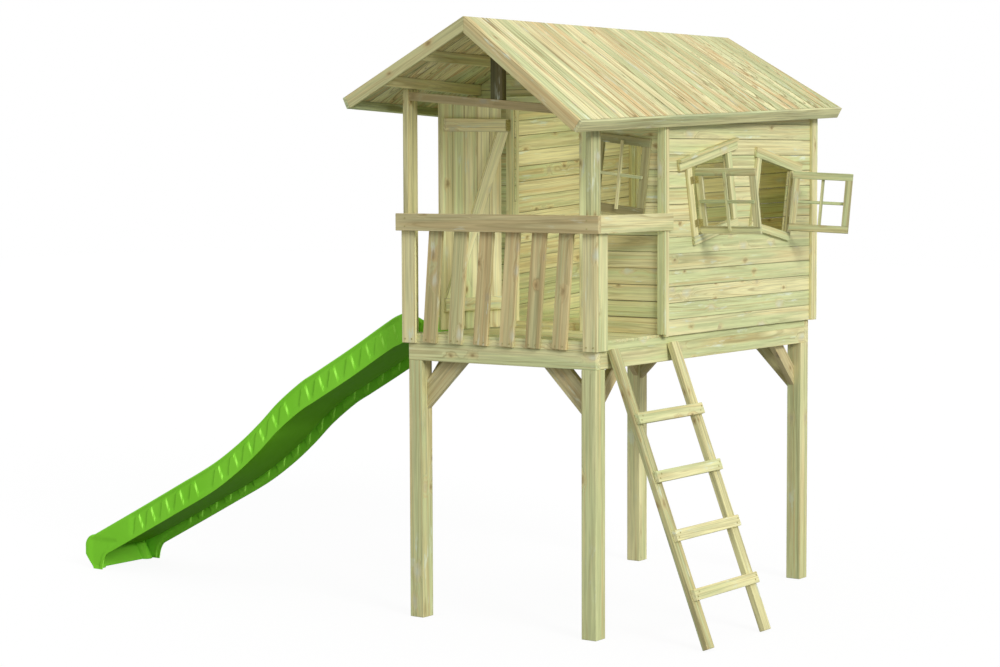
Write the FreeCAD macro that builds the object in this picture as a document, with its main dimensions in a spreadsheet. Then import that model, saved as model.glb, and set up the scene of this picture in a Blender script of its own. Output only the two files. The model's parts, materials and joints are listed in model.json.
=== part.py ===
# Stilt playhouse: a small timber cabin with a veranda on four stilts,
# with a ladder on its right, a wavy slide on its left, a plank door
# and two hinged window casements. Lengths are in millimetres.
# X runs to the right and Y to the rear of the house; the origin lies
# on the ground under the middle of the front right stilt.
import FreeCAD
import Part
import math
import os
import re
from types import SimpleNamespace

SIZES = {
    # Stilts, beams and braces
    "stilt_side": 90,
    "frame_width": 1210,
    "frame_depth": 2294,
    "deck_underside": 1500,
    "beam_height": 94,
    "beam_thickness": 45,
    "brace_thickness": 35,
    "brace_near_reach": 105,
    "brace_far_reach": 266,
    "side_brace_near_reach": 137,
    "side_brace_far_reach": 250,
    # Floor
    "floor_frame_height": 36,
    "floor_frame_thickness": 45,
    "floor_board_thickness": 16,
    "floor_board_count": 26,
    "joist_count": 2,
    # Wall boards and their battens
    "board_thickness": 18,
    "board_cover": 88,
    "board_gap": 0.5,
    "wall_foot_drop": 12,
    "cabin_front": 629,
    "left_board_lean": 3.7,
    "rear_board_lean": 4,
    "batten_depth": 27,
    "batten_width": 45,
    "left_stud_depth": 1690,
    "threshold_height": 38,
    "roof_clearance": 3,
    # Corner trims
    "trim_width": 45,
    "trim_side_width": 32,
    # Doorway and door
    "doorway_left": 949,
    "doorway_width": 443,
    "doorway_head": 2790,
    "door_hinge_inset": 16,
    "door_open_angle": 107,
    "door_board_count": 5,
    "door_board_width": 84,
    "door_board_start": 46,
    "door_foot": 1560,
    "door_height": 1255,
    "door_rail_width": 72,
    "door_rail_inset": 24,
    "door_rail_start": 9,
    "door_low_rail": 1660,
    "door_high_rail": 2640,
    "door_brace_width": 70,
    # Hinges
    "pin_radius": 2.5,
    "knuckle_radius": 4,
    "pin_clearance": 0.05,
    "leaf_thickness": 2,
    "leaf_width": 28,
    "door_hinge_height": 60,
    "casement_hinge_height": 40,
    "knuckle_gap": 0.3,
    "seat_clearance": 0.3,
    # First side window
    "window_1_depth": 1120,
    "window_1_height": 2297,
    "window_1_tilt": 11.5,
    "window_1_width": 388,
    "window_1_rise": 374,
    # Second side window
    "window_2_depth": 1810,
    "window_2_height": 2276,
    "window_2_tilt": 10.5,
    "window_2_width": 366,
    "window_2_rise": 360,
    "window_2_head_width": 58,
    "window_2_front_overrun": 14,
    "window_2_rear_overrun": 70,
    "window_trim_width": 47,
    "trim_head_overrun": 74,
    "drip_cap_height": 18,
    "drip_cap_depth": 30,
    # Casements
    "casement_gap": 8,
    "casement_free_gap": 10,
    "casement_bar": 40,
    "casement_thickness": 18,
    "muntin_width": 17,
    "muntin_thickness": 12,
    "muntin_overlap": 22,
    "casement_1_open_angle": 90,
    "casement_2_open_angle": 105,
    # Front window
    "front_window_inset": 244,
    "front_window_height": 2404,
    "front_window_tilt": 6.5,
    "front_window_width": 336,
    "front_window_rise": 418,
    "front_window_bar": 45,
    # Veranda
    "post_width": 32,
    "post_depth": 90,
    "right_post_inset": 27,
    "post_foot_drop": 46,
    "rail_height": 93,
    "rail_thickness": 27,
    "rail_top": 2200,
    "rail_overrun": 52,
    "side_rail_end": 690,
    "baluster_width": 88,
    "baluster_count": 6,
    "baluster_pitch": 168,
    "baluster_first": 198,
    "baluster_lean": 4.5,
    "baluster_foot_gap": 6,
    "baluster_top_gap": 10,
    "corner_board_width": 88,
    "cross_beam_height": 46,
    "cross_beam_depth": 45,
    "cross_beam_setback": 13,
    "cross_beam_left_top": 2852,
    "cross_beam_right_top": 2750,
    "king_post_width": 77,
    "king_post_depth": 38,
    "king_post_inset": 594,
    # Roof
    "ridge_inset": 650,
    "ridge_height": 3224,
    "front_overhang": 250,
    "rear_overhang": 166,
    "right_front_span": 732,
    "right_front_drop": 553,
    "right_rear_span": 778,
    "right_rear_drop": 440,
    "left_front_span": 805,
    "left_front_drop": 407,
    "left_rear_span": 764,
    "left_rear_drop": 526,
    "roof_board_count": 30,
    "roof_board_thickness": 18,
    "bargeboard_width": 69,
    "fascia_height": 64,
    "ridge_beam_width": 45,
    "ridge_beam_height": 60,
    "purlin_width": 45,
    "purlin_height": 45,
    "purlin_mid_offset": 300,
    "purlin_left_offset": 550,
    "purlin_right_offset": 607,
    "purlin_clearance": 2.2,
    # Ladder
    "ladder_lean": 21,
    "stringer_width": 70,
    "stringer_thickness": 34,
    "ladder_left": 104,
    "ladder_width": 658,
    "rung_length": 646,
    "rung_height": 60,
    "rung_thickness": 27,
    "first_rung_top": 302,
    "rung_spacing": 293,
    "rung_count": 4,
    # Slide
    "slide_near_side": 100,
    "slide_width": 504,
    "slide_mouth_run": 85,
    "slide_rim_start": 125,
    "slide_rim_height": 1649,
    "slide_reach": 2404,
    "slide_end_rim": 208,
    "slide_nose": 66,
    "slide_side_height": 165,
    "slide_bed_depth": 120,
    "slide_rim_width": 38,
    "slide_skin": 5,
    "slide_runout_height": 88,
    "slide_runout_rounding": 50,
    "slide_rim_low": 12,
    "slide_draft": 8,
    "slide_foot_length": 76,
    "slide_arch_radius": 45,
    "slide_step_count": 24,
    "slide_corner_radius": 55,
    # Screw heads
    "screw_radius": 4.5,
    "screw_head": 1.6,
    "screw_inset": 22,
}

# Side view of the slide's rim: share of the reach, share of the drop
RIM_SHARES = [
    (0.000, 0.000), (0.029, 0.021), (0.150, 0.142), (0.259, 0.245),
    (0.306, 0.289), (0.378, 0.377), (0.436, 0.464), (0.502, 0.552),
    (0.586, 0.645), (0.714, 0.757), (0.846, 0.870), (1.000, 1.000),
]

# Places of the slide's sections along the arch of its foot and along its nose
ARCH_SHARES = [0.30, 0.60, 0.85, 1.00]
NOSE_SHARES = [0.40, 0.75, 0.95]

doc = FreeCAD.newDocument("StiltPlayhouse")
sheet = doc.addObject("Spreadsheet::Sheet", "Sizes")
for row, (alias, number) in enumerate(SIZES.items(), start=1):
    sheet.set(f"A{row}", alias)
    sheet.set(f"B{row}", str(number))
    sheet.setAlias(f"B{row}", alias)
doc.recompute()

s = SimpleNamespace(**{alias: float(sheet.get(alias)) for alias in SIZES})

# Faces and levels that many pieces share, as numbers and as sheet formulas
right = s.stilt_side / 2
left = right - s.frame_width
front = -s.stilt_side / 2
back = front + s.frame_depth
floor_top = s.deck_underside + s.floor_frame_height + s.floor_board_thickness
cabin_face = front + s.cabin_front
cabin_inner = cabin_face + s.board_thickness
wall_foot = floor_top - s.wall_foot_drop
ridge = right - s.ridge_inset
roof_front = front - s.front_overhang
roof_back = back + s.rear_overhang

RIGHT = "(stilt_side / 2)"
LEFT = "(stilt_side / 2 - frame_width)"
FRONT = "(-stilt_side / 2)"
BACK = "(frame_depth - stilt_side / 2)"
SHOULDER = "(deck_underside - beam_height)"
RAIL_FOOT = "(rail_top - rail_height)"

nodes = []


def formula(text):
    """Point every size name in the text at its cell of the sheet."""
    return re.sub(r"[a-z_][a-z_0-9]*", lambda word: f"Sizes.{word.group(0)}", text)


def timber(name, corner, lengths):
    """Add a box whose corner and lengths follow the sheet."""
    piece = doc.addObject("Part::Box", name)
    piece.Label = name
    for prop, text in zip(("Length", "Width", "Height"), lengths):
        piece.setExpression(prop, formula(text))
    for axis, text in zip("xyz", corner):
        piece.setExpression(f"Placement.Base.{axis}", formula(text))
    return piece


def keep(piece, name):
    """Name a finished sub-part and list it for writing."""
    piece.Label = name
    nodes.append(piece)
    return piece


def group(name, pieces, place=None):
    """Hold separate pieces of one kind together as one sub-part."""
    held = doc.addObject("Part::Compound", name)
    held.Links = pieces
    if place is not None:
        held.Placement = place
    return keep(held, name)


def feature(name, solids, place=None):
    """Add a sub-part from finished solids."""
    piece = doc.addObject("Part::Feature", name)
    piece.Shape = solids[0] if len(solids) == 1 else Part.makeCompound(solids)
    if place is not None:
        piece.Placement = place
    return keep(piece, name)


def vector(x, y, z):
    """Short form of a FreeCAD vector."""
    return FreeCAD.Vector(x, y, z)


def spot(x, y, z, axis=(0, 0, 1), angle=0.0):
    """Placement at a point, turned about an axis."""
    return FreeCAD.Placement(vector(x, y, z), FreeCAD.Rotation(vector(*axis), angle))


def prism_xz(outline, y_start, depth):
    """Extrude an outline of (x, z) points along Y."""
    points = [vector(x, y_start, z) for x, z in outline]
    return Part.Face(Part.makePolygon(points + points[:1])).extrude(vector(0, depth, 0))


def prism_yz(outline, x_start, depth):
    """Extrude an outline of (y, z) points along X."""
    points = [vector(x_start, y, z) for y, z in outline]
    return Part.Face(Part.makePolygon(points + points[:1])).extrude(vector(depth, 0, 0))


def between(front_outline, rear_outline, y_start, y_end):
    """Solid that runs straight from one outline of (x, z) points to another."""
    wires = []
    for outline, y in ((front_outline, y_start), (rear_outline, y_end)):
        points = [vector(x, y, z) for x, z in outline]
        wires.append(Part.makePolygon(points + points[:1]))
    return Part.makeLoft(wires, True, True)


def blend(first, last, share):
    """Value that lies a share of the way from first to last."""
    return first + (last - first) * share


def eave(side, y):
    """Span and drop of the roof from the ridge to an eave at depth y."""
    share = (y - roof_front) / (roof_back - roof_front)
    if side > 0:
        return (blend(s.right_front_span, s.right_rear_span, share),
                blend(s.right_front_drop, s.right_rear_drop, share))
    return (blend(s.left_front_span, s.left_rear_span, share),
            blend(s.left_front_drop, s.left_rear_drop, share))


def slope(side, y):
    """Fall of the roof per unit of width at depth y."""
    span, drop = eave(side, y)
    return drop / span


def eave_run(side, y):
    """Distance down the slope from the ridge to an eave at depth y."""
    return math.hypot(*eave(side, y))


def down_roof(side, y, along, deep):
    """Place (x, z) at a distance down the slope at depth y, and square below it."""
    span, drop = eave(side, y)
    out = (along * span - deep * drop) / eave_run(side, y)
    fall = (along * drop + deep * span) / eave_run(side, y)
    return ridge + side * out, s.ridge_height - fall


def skin(thickness, fall):
    """Upright thickness of a board that lies on a slope."""
    return thickness * math.hypot(1.0, fall)


def roof_under(x, y):
    """Height of the roof boards' lower face at a place."""
    fall = slope(x - ridge, y)
    return s.ridge_height - abs(x - ridge) * fall - skin(s.roof_board_thickness, fall)


def ridge_under(y):
    """Height under the ridge, where the boards of both sides meet."""
    return s.ridge_height - max(skin(s.roof_board_thickness, slope(side, y)) for side in (-1, 1))


def lowest_roof(x_places, y_places):
    """Lowest point of the boards' lower face over some places."""
    return min(roof_under(x, y) for x in x_places for y in y_places)


# Frame

def make_stilts():
    """Four square posts, each with a tongue that rises inside the beams."""
    corners = {
        "stilt_front_right": (RIGHT + " - stilt_side", FRONT, 0, 1),
        "stilt_front_left": (LEFT, FRONT, 1, 1),
        "stilt_rear_right": (RIGHT + " - stilt_side", BACK + " - stilt_side", 0, 0),
        "stilt_rear_left": (LEFT, BACK + " - stilt_side", 1, 0),
    }
    for name, (x, y, x_inner, y_inner) in corners.items():
        shaft = timber(name + "_shaft", (x, y, "0"), ("stilt_side", "stilt_side", SHOULDER))
        tongue_x = x + " + beam_thickness" if x_inner else x
        tongue_y = y + " + beam_thickness" if y_inner else y
        tongue = timber(name + "_tongue", (tongue_x, tongue_y, SHOULDER),
                        ("stilt_side - beam_thickness", "stilt_side - beam_thickness",
                         "beam_height"))
        stilt = doc.addObject("Part::Fuse", name)
        stilt.Base = shaft
        stilt.Tool = tongue
        keep(stilt, name)


def make_beams():
    """Front and rear beams on the stilts' shoulders, side beams between them."""
    long_y = "frame_depth - 2 * beam_thickness"
    keep(timber("beam_front", (LEFT, FRONT, SHOULDER),
                ("frame_width", "beam_thickness", "beam_height")), "beam_front")
    keep(timber("beam_rear", (LEFT, BACK + " - beam_thickness", SHOULDER),
                ("frame_width", "beam_thickness", "beam_height")), "beam_rear")
    keep(timber("beam_left", (LEFT, FRONT + " + beam_thickness", SHOULDER),
                ("beam_thickness", long_y, "beam_height")), "beam_left")
    keep(timber("beam_right", (RIGHT + " - beam_thickness", FRONT + " + beam_thickness", SHOULDER),
                ("beam_thickness", long_y, "beam_height")), "beam_right")


def brace_outline(corner, direction, near, far):
    """Brace at 45 degrees from a stilt's face up behind the beam."""
    shoulder = s.deck_underside - s.beam_height
    return [
        (corner, shoulder - near),
        (corner, shoulder - far),
        (corner + direction * (far + s.beam_height), s.deck_underside),
        (corner + direction * (near + s.beam_height), s.deck_underside),
    ]


def make_braces():
    """Two braces behind each beam."""
    for name, y in (("knee_braces_front", front + s.beam_thickness),
                    ("knee_braces_rear", back - s.beam_thickness - s.brace_thickness)):
        feature(name, [
            prism_xz(brace_outline(corner, direction, s.brace_near_reach, s.brace_far_reach),
                     y, s.brace_thickness)
            for corner, direction in ((right - s.stilt_side, -1), (left + s.stilt_side, 1))])
    for name, x in (("knee_braces_right", right - s.beam_thickness - s.brace_thickness),
                    ("knee_braces_left", left + s.beam_thickness)):
        feature(name, [
            prism_yz(brace_outline(corner, direction, s.side_brace_near_reach,
                                   s.side_brace_far_reach),
                     x, s.brace_thickness)
            for corner, direction in ((front + s.stilt_side, 1), (back - s.stilt_side, -1))])


# Floor

def make_floor():
    """Frame of joists on the beams, with boards across it."""
    inner = "frame_depth - 2 * floor_frame_thickness"
    size_y = ("floor_frame_thickness", inner, "floor_frame_height")
    rows = [
        timber("floor_rail_front", (LEFT, FRONT, "deck_underside"),
               ("frame_width", "floor_frame_thickness", "floor_frame_height")),
        timber("floor_rail_rear", (LEFT, BACK + " - floor_frame_thickness", "deck_underside"),
               ("frame_width", "floor_frame_thickness", "floor_frame_height")),
    ]
    gaps = "(joist_count + 1)"
    for index in range(int(s.joist_count) + 2):
        x = f"{LEFT} + {index} * (frame_width - floor_frame_thickness) / {gaps}"
        rows.append(timber(f"joist_{index + 1}",
                           (x, FRONT + " + floor_frame_thickness", "deck_underside"), size_y))
    group("floor_frame", rows)
    boards = []
    for index in range(int(s.floor_board_count)):
        y = f"{FRONT} + {index} * frame_depth / floor_board_count"
        boards.append(timber(f"floor_board_{index + 1}",
                             (LEFT, y, "deck_underside + floor_frame_height"),
                             ("frame_width", "frame_depth / floor_board_count - board_gap",
                              "floor_board_thickness")))
    group("floor_boards", boards)


# Walls

def boards_across(outline, lean, holes):
    """Rows of boards inside an outline of (along, up) points.

    The boards stand in the local X-Z plane, one board thick along Y.
    """
    blank = prism_xz(outline, 0, s.board_thickness)
    for hole in holes:
        blank = blank.cut(hole)
    box = blank.BoundBox
    rise = box.XLength * math.tan(math.radians(abs(lean)))
    turn = spot(box.XMin if lean >= 0 else box.XMax, 0, box.ZMin, (0, -1, 0), lean)
    rows = math.ceil((box.ZLength + rise) / s.board_cover)
    solids = []
    for row in range(-math.ceil(rise / s.board_cover), rows):
        strip = Part.makeBox(2 * box.XLength, s.board_thickness, s.board_cover - s.board_gap,
                             vector(-box.XLength / 2, 0, row * s.board_cover))
        strip.Placement = turn.multiply(strip.Placement)
        solids += [part for part in blank.common(strip).Solids if part.Volume > s.board_thickness ** 3]
    return solids


def window_hole(along, up, width, rise, tilt, depth):
    """Cutter for a tilted window in a wall's local frame."""
    hole = Part.makeBox(width, 3 * depth, rise, vector(-width / 2, -depth, -rise / 2))
    hole.Placement = spot(along, 0, up, (0, -1, 0), tilt).multiply(hole.Placement)
    return hole


def purlin_foot(side, y):
    """Height of the lower face of the outer purlin on one side."""
    offset = s.purlin_right_offset if side > 0 else -s.purlin_left_offset
    return roof_under(ridge + offset, y) - s.purlin_clearance - s.purlin_height


def under_purlin(x_low, x_high, y, side):
    """Height that a piece between two X places may reach at depth y."""
    offset = s.purlin_right_offset if side > 0 else -s.purlin_left_offset
    reach = s.purlin_width / 2
    top = min(roof_under(x_low, y), roof_under(x_high, y))
    if x_high > ridge + offset - reach and x_low < ridge + offset + reach:
        top = min(top, purlin_foot(side, y))
    return top - s.roof_clearance


def side_wall_outline(x_low, x_high, side):
    """Outline of a side wall, cut to the roof or the purlin above it."""
    return [
        (cabin_inner, wall_foot), (back, wall_foot),
        (back, under_purlin(x_low, x_high, back, side)),
        (cabin_inner, under_purlin(x_low, x_high, cabin_inner, side)),
    ]


def gable_outline(y, x_start, x_end, foot):
    """Outline of a gable wall, cut to the roof above it."""
    return [
        (x_start, foot), (x_end, foot),
        (x_end, roof_under(x_end, y) - s.roof_clearance),
        (ridge, ridge_under(y) - s.roof_clearance),
        (x_start, roof_under(x_start, y) - s.roof_clearance),
    ]


def purlin_outline(offset, y, margin=0.0):
    """Section of a purlin whose top follows the roof; a margin grows it."""
    half = s.purlin_width / 2 + margin
    centre = ridge + offset
    tops = [(x, roof_under(x, y) - s.purlin_clearance + margin) for x in (centre + half, centre - half)]
    foot = roof_under(centre, y) - s.purlin_clearance - s.purlin_height - margin
    return [(centre - half, foot), (centre + half, foot)] + tops


def ridge_outline(y, margin=0.0):
    """Section of the ridge beam, with a top cut to both slopes."""
    half = s.ridge_beam_width / 2 + margin
    top = ridge_under(y) - s.purlin_clearance + margin
    foot = top - s.ridge_beam_height - 2 * margin
    return [
        (ridge - half, foot), (ridge + half, foot),
        (ridge + half, roof_under(ridge + half, y) - s.purlin_clearance + margin),
        (ridge, top),
        (ridge - half, roof_under(ridge - half, y) - s.purlin_clearance + margin),
    ]


def roof_timbers(margin=0.0):
    """Purlins and ridge beam under the roof boards, in that order."""
    y_start = roof_front + s.board_thickness
    y_end = roof_back - s.board_thickness
    solids = []
    for offset in (-s.purlin_left_offset, -s.purlin_mid_offset,
                   s.purlin_mid_offset, s.purlin_right_offset):
        solids.append(between(purlin_outline(offset, y_start, margin),
                              purlin_outline(offset, y_end, margin), y_start, y_end))
    solids.append(between(ridge_outline(y_start, margin), ridge_outline(y_end, margin),
                          y_start, y_end))
    return solids


def side_window_spots():
    """Place and size of both side windows in the right wall's local frame."""
    return (
        (front + s.window_1_depth, s.window_1_height, s.window_1_width, s.window_1_rise,
         s.window_1_tilt),
        (front + s.window_2_depth, s.window_2_height, s.window_2_width, s.window_2_rise,
         -s.window_2_tilt),
    )


def make_wall_boards():
    """Boards of the four cabin walls."""
    thick = s.board_thickness
    windows = [window_hole(along, up, width, rise, tilt, thick)
               for along, up, width, rise, tilt in side_window_spots()]
    feature("wall_boards_right",
            boards_across(side_wall_outline(right, right + thick, 1), 0, windows),
            spot(right + thick, 0, 0, (0, 0, 1), 90))
    feature("wall_boards_left",
            boards_across(side_wall_outline(left - thick, left, -1), s.left_board_lean, []),
            spot(left, 0, 0, (0, 0, 1), 90))
    cutters = roof_timbers(s.roof_clearance / 2)
    notches_rear = [cutter.translated(vector(0, -back, 0)) for cutter in cutters]
    feature("wall_boards_rear",
            boards_across(gable_outline(back, left - thick, right + thick, wall_foot),
                          s.rear_board_lean, notches_rear),
            spot(0, back, 0))
    doorway = Part.makeBox(
        s.doorway_width, 3 * thick, s.doorway_head - wall_foot + thick,
        vector(right - s.doorway_left, -thick, wall_foot - thick))
    pane = window_hole(right - s.front_window_inset, s.front_window_height,
                       s.front_window_width - s.front_window_bar,
                       s.front_window_rise - s.front_window_bar, -s.front_window_tilt, thick)
    notches_front = [cutter.translated(vector(0, -cabin_face, 0)) for cutter in cutters]
    feature("wall_boards_front",
            boards_across(gable_outline(cabin_face, left - thick, right + thick, floor_top),
                          0, notches_front + [doorway, pane]),
            spot(0, cabin_face, 0))


def make_side_battens(name, x, side, middle):
    """Foot rail, studs and head rail behind one side wall's boards.

    The middle stud's front face stands at the depth given.
    """
    deep = s.batten_depth
    y_first = cabin_inner + deep
    y_last = back - deep
    tops = [under_purlin(x, x + deep, y, side) for y in (y_first, y_last)]
    heads = [top - s.batten_width for top in tops]
    studs_foot = floor_top + s.threshold_height
    solids = [
        Part.makeBox(deep, y_last - y_first, s.threshold_height, vector(x, y_first, floor_top)),
        prism_yz([(y_first, heads[0]), (y_last, heads[1]), (y_last, tops[1]), (y_first, tops[0])],
                 x, deep),
    ]
    for y in (y_first, middle, y_last - s.batten_width):
        ends = [blend(heads[0], heads[1], (place - y_first) / (y_last - y_first))
                for place in (y, y + s.batten_width)]
        solids.append(prism_yz([(y, studs_foot), (y + s.batten_width, studs_foot),
                                (y + s.batten_width, ends[1]), (y, ends[0])], x, deep))
    feature(name, solids)


def make_gable_battens(name, y, studs, purlins):
    """Foot rail and studs behind one gable wall's boards."""
    solids = [Part.makeBox(s.frame_width, s.batten_depth, s.threshold_height,
                           vector(left, y, floor_top))]
    for x in studs:
        top = lowest_roof((x, x + s.batten_width), (y, y + s.batten_depth)) - s.roof_clearance
        stud = Part.makeBox(s.batten_width, s.batten_depth, top - floor_top - s.threshold_height,
                            vector(x, y, floor_top + s.threshold_height))
        for purlin in purlins:
            stud = stud.cut(purlin)
        solids.append(min(stud.Solids, key=lambda part: part.BoundBox.ZMin))
    feature(name, solids)


def make_wall_frames():
    """Battens that carry the wall boards, with the threshold of the doorway."""
    between_windows = front + (s.window_1_depth + s.window_2_depth - s.batten_width) / 2
    make_side_battens("wall_frame_right", right - s.batten_depth, 1, between_windows)
    make_side_battens("wall_frame_left", left, -1, front + s.left_stud_depth)
    cutters = roof_timbers(s.roof_clearance / 2)
    door_left = right - s.doorway_left
    door_right = door_left + s.doorway_width
    make_gable_battens("wall_frame_front", cabin_inner,
                       (left, door_left - s.batten_width, door_right, right - s.batten_width),
                       cutters)
    make_gable_battens("wall_frame_rear", back - s.batten_depth,
                       (left, left + s.frame_width / 3, right - s.frame_width / 3,
                        right - s.batten_width), cutters)


def make_corner_trims():
    """Upright battens over the four corners of the cabin."""
    thick = s.board_thickness
    solids = []
    for side, face in ((1, right + thick), (-1, left - thick)):
        edge = face + side * thick
        x_low, x_high = sorted((edge, edge - side * s.trim_width))
        side_low, side_high = sorted((face, edge))
        for y, foot in ((cabin_face - thick, floor_top), (back + thick, wall_foot)):
            top = min(under_purlin(x_low, x_high, place, side) for place in (y, y + thick))
            solids.append(Part.makeBox(s.trim_width, thick, top - foot, vector(x_low, y, foot)))
        for y, width in ((cabin_face, s.trim_side_width),
                         (back + thick - s.trim_width, s.trim_width)):
            top = min(under_purlin(side_low, side_high, place, side) for place in (y, y + width))
            solids.append(Part.makeBox(thick, width, top - wall_foot,
                                       vector(side_low, y, wall_foot)))
    feature("corner_trims", solids)


# Windows and doorway

def ring(width, rise, bar, thickness, depth_start):
    """Four bars round an opening, in a frame with its middle at the origin.

    The bars lie outside the opening; X is the wall's outward direction.
    """
    half = width / 2
    tall = rise / 2
    return [
        Part.makeBox(thickness, width + 2 * bar, bar, vector(depth_start, -half - bar, tall)),
        Part.makeBox(thickness, width + 2 * bar, bar, vector(depth_start, -half - bar, -tall - bar)),
        Part.makeBox(thickness, bar, rise, vector(depth_start, -half - bar, -tall)),
        Part.makeBox(thickness, bar, rise, vector(depth_start, half, -tall)),
    ]


def cross(width, rise, depth_start):
    """Upright bar over the middle of an opening, with a level bar on each side of it.

    The bars lie on the outer face of the frame and end on its four bars.
    """
    bar = s.muntin_width
    tall = rise + 2 * s.muntin_overlap
    arm = (width - bar) / 2 + s.muntin_overlap
    return [
        Part.makeBox(s.muntin_thickness, bar, tall, vector(depth_start, -bar / 2, -tall / 2)),
        Part.makeBox(s.muntin_thickness, arm, bar, vector(depth_start, -bar / 2 - arm, -bar / 2)),
        Part.makeBox(s.muntin_thickness, arm, bar, vector(depth_start, bar / 2, -bar / 2)),
    ]


def window_place(index):
    """Placement of a side window's middle on the boards' outer face."""
    along, up, _, _, tilt = side_window_spots()[index]
    return spot(right + s.board_thickness, along, up, (1, 0, 0), tilt)


def make_window_trims():
    """Trim boards round both side windows, with a drip cap over the first."""
    bar = s.window_trim_width
    thick = s.board_thickness
    _, _, width, rise, _ = side_window_spots()[0]
    longer = width + 2 * bar + 2 * s.trim_head_overrun
    bars = ring(width, rise, bar, thick, 0)
    bars[0] = Part.makeBox(thick, longer, bar, vector(0, -longer / 2, rise / 2))
    feature("window_1_trim", bars, window_place(0))
    cap = Part.makeBox(s.drip_cap_depth, longer, s.drip_cap_height,
                       vector(0, -longer / 2, rise / 2 + bar))
    feature("drip_cap", [cap], window_place(0))
    _, _, width, rise, _ = side_window_spots()[1]
    start = -width / 2 - bar - s.window_2_front_overrun
    end = width / 2 + bar + s.window_2_rear_overrun
    bars = ring(width, rise, bar, thick, 0)
    bars[0] = Part.makeBox(thick, end - start, s.window_2_head_width, vector(0, start, rise / 2))
    feature("window_2_trim", bars, window_place(1))


def make_front_window():
    """Fixed four-pane frame on the front wall, right of the door."""
    bar = s.front_window_bar
    place = spot(right - s.front_window_inset, cabin_face, s.front_window_height,
                 (0, 1, 0), s.front_window_tilt).multiply(spot(0, 0, 0, (0, 0, 1), -90))
    inner_width = s.front_window_width - 2 * bar
    inner_rise = s.front_window_rise - 2 * bar
    feature("front_window_frame", ring(inner_width, inner_rise, bar, s.board_thickness, 0), place)
    feature("front_window_muntins", cross(inner_width, inner_rise, s.board_thickness), place)


def make_door_jambs():
    """Battens in front of the wall boards at both sides of the doorway."""
    y = cabin_face - s.board_thickness
    x_left = right - s.doorway_left - s.trim_width
    x_right = right - s.doorway_left + s.doorway_width
    tall = s.doorway_head - floor_top
    solids = [Part.makeBox(s.trim_width, s.board_thickness, tall, vector(x, y, floor_top))
              for x in (x_left, x_right)]
    solids.append(Part.makeBox(x_right - x_left + s.trim_width, s.board_thickness, s.trim_width,
                               vector(x_left, y, s.doorway_head)))
    feature("door_jambs", solids)


def knuckles(height, middle):
    """Tube lengths of a hinge: the middle third, or the two outer thirds."""
    third = height / 3
    tube = s.knuckle_radius
    bore = s.pin_radius + s.pin_clearance
    if middle:
        spans = [(-third / 2 + s.knuckle_gap, third - 2 * s.knuckle_gap)]
    else:
        spans = [(-height / 2, third), (third / 2, third)]
    tubes = []
    for low, long in spans:
        outer = Part.makeCylinder(tube, long, vector(0, 0, low))
        tubes.append(outer.cut(Part.makeCylinder(bore, long, vector(0, 0, low))))
    return tubes


def hinge_leaf(height, middle, direction, plane):
    """Flat plate with its knuckles; the plate lies on the plane Y = plane.

    The plate reaches towards direction * X, and its back faces the plane.
    """
    tubes = knuckles(height, middle)
    thick = s.leaf_thickness
    start = s.pin_radius + s.pin_clearance
    x_low = start if direction > 0 else -s.leaf_width
    plate = Part.makeBox(s.leaf_width - start, thick, height,
                         vector(x_low, plane - thick, -height / 2))
    free = (-height / 2 - s.knuckle_gap, height / 3 + 2 * s.knuckle_gap)
    windows = [free, (height / 6 - s.knuckle_gap, height / 3 + 2 * s.knuckle_gap)]
    if not middle:
        windows = [(-height / 6 - s.knuckle_gap, height / 3 + 2 * s.knuckle_gap)]
    reach = s.knuckle_radius + s.knuckle_gap
    for low, long in windows:
        plate = plate.cut(Part.makeBox(2 * reach, 2 * reach, long, vector(-reach, -reach, low)))
    clear = Part.makeCylinder(start, height, vector(0, 0, -height / 2))
    leaf = plate.cut(clear)
    for tube in tubes:
        leaf = leaf.fuse(tube)
    return leaf.removeSplitter().Solids


def hinge_pin(height):
    """Pin through a hinge's knuckles."""
    return Part.makeCylinder(s.pin_radius, height, vector(0, 0, -height / 2))


def door_axis():
    """Place of the door's hinge axis in plan."""
    return (right - s.doorway_left - s.door_hinge_inset,
            cabin_face - s.board_thickness - s.knuckle_radius)


def door_place():
    """Placement of the door's own frame: X along the closed leaf."""
    x, y = door_axis()
    return spot(x, y, 0, (0, 0, 1), -s.door_open_angle)


def door_hinge_levels():
    """Heights of the door's two hinges."""
    return [low + s.door_rail_width / 2 for low in (s.door_low_rail, s.door_high_rail)]


def make_door():
    """Plank door with two rails and a brace, standing open."""
    place = door_place()
    back_face = s.knuckle_radius - s.seat_clearance
    rail_y = back_face - s.leaf_thickness - s.board_thickness
    board_y = rail_y - s.board_thickness
    boards = [
        Part.makeBox(s.door_board_width - s.board_gap, s.board_thickness, s.door_height,
                     vector(s.door_board_start + index * s.door_board_width, board_y,
                            s.door_foot))
        for index in range(int(s.door_board_count))]
    feature("door_boards", boards, place)
    free_edge = s.door_board_start + s.door_board_count * s.door_board_width
    rail_end = free_edge - s.door_rail_inset
    rails = [Part.makeBox(rail_end - s.door_rail_start, s.board_thickness, s.door_rail_width,
                          vector(s.door_rail_start, rail_y, low))
             for low in (s.door_low_rail, s.door_high_rail)]
    feature("door_rails", rails, place)
    low_z = s.door_low_rail + s.door_rail_width
    high_z = s.door_high_rail
    run = rail_end - s.door_rail_start
    flat = s.door_brace_width * math.hypot(run, high_z - low_z) / (high_z - low_z)
    brace = prism_xz([
        (rail_end - flat, low_z), (rail_end, low_z),
        (s.door_rail_start + flat, high_z), (s.door_rail_start, high_z)],
        rail_y, s.board_thickness)
    feature("door_brace", [brace], place)


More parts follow.
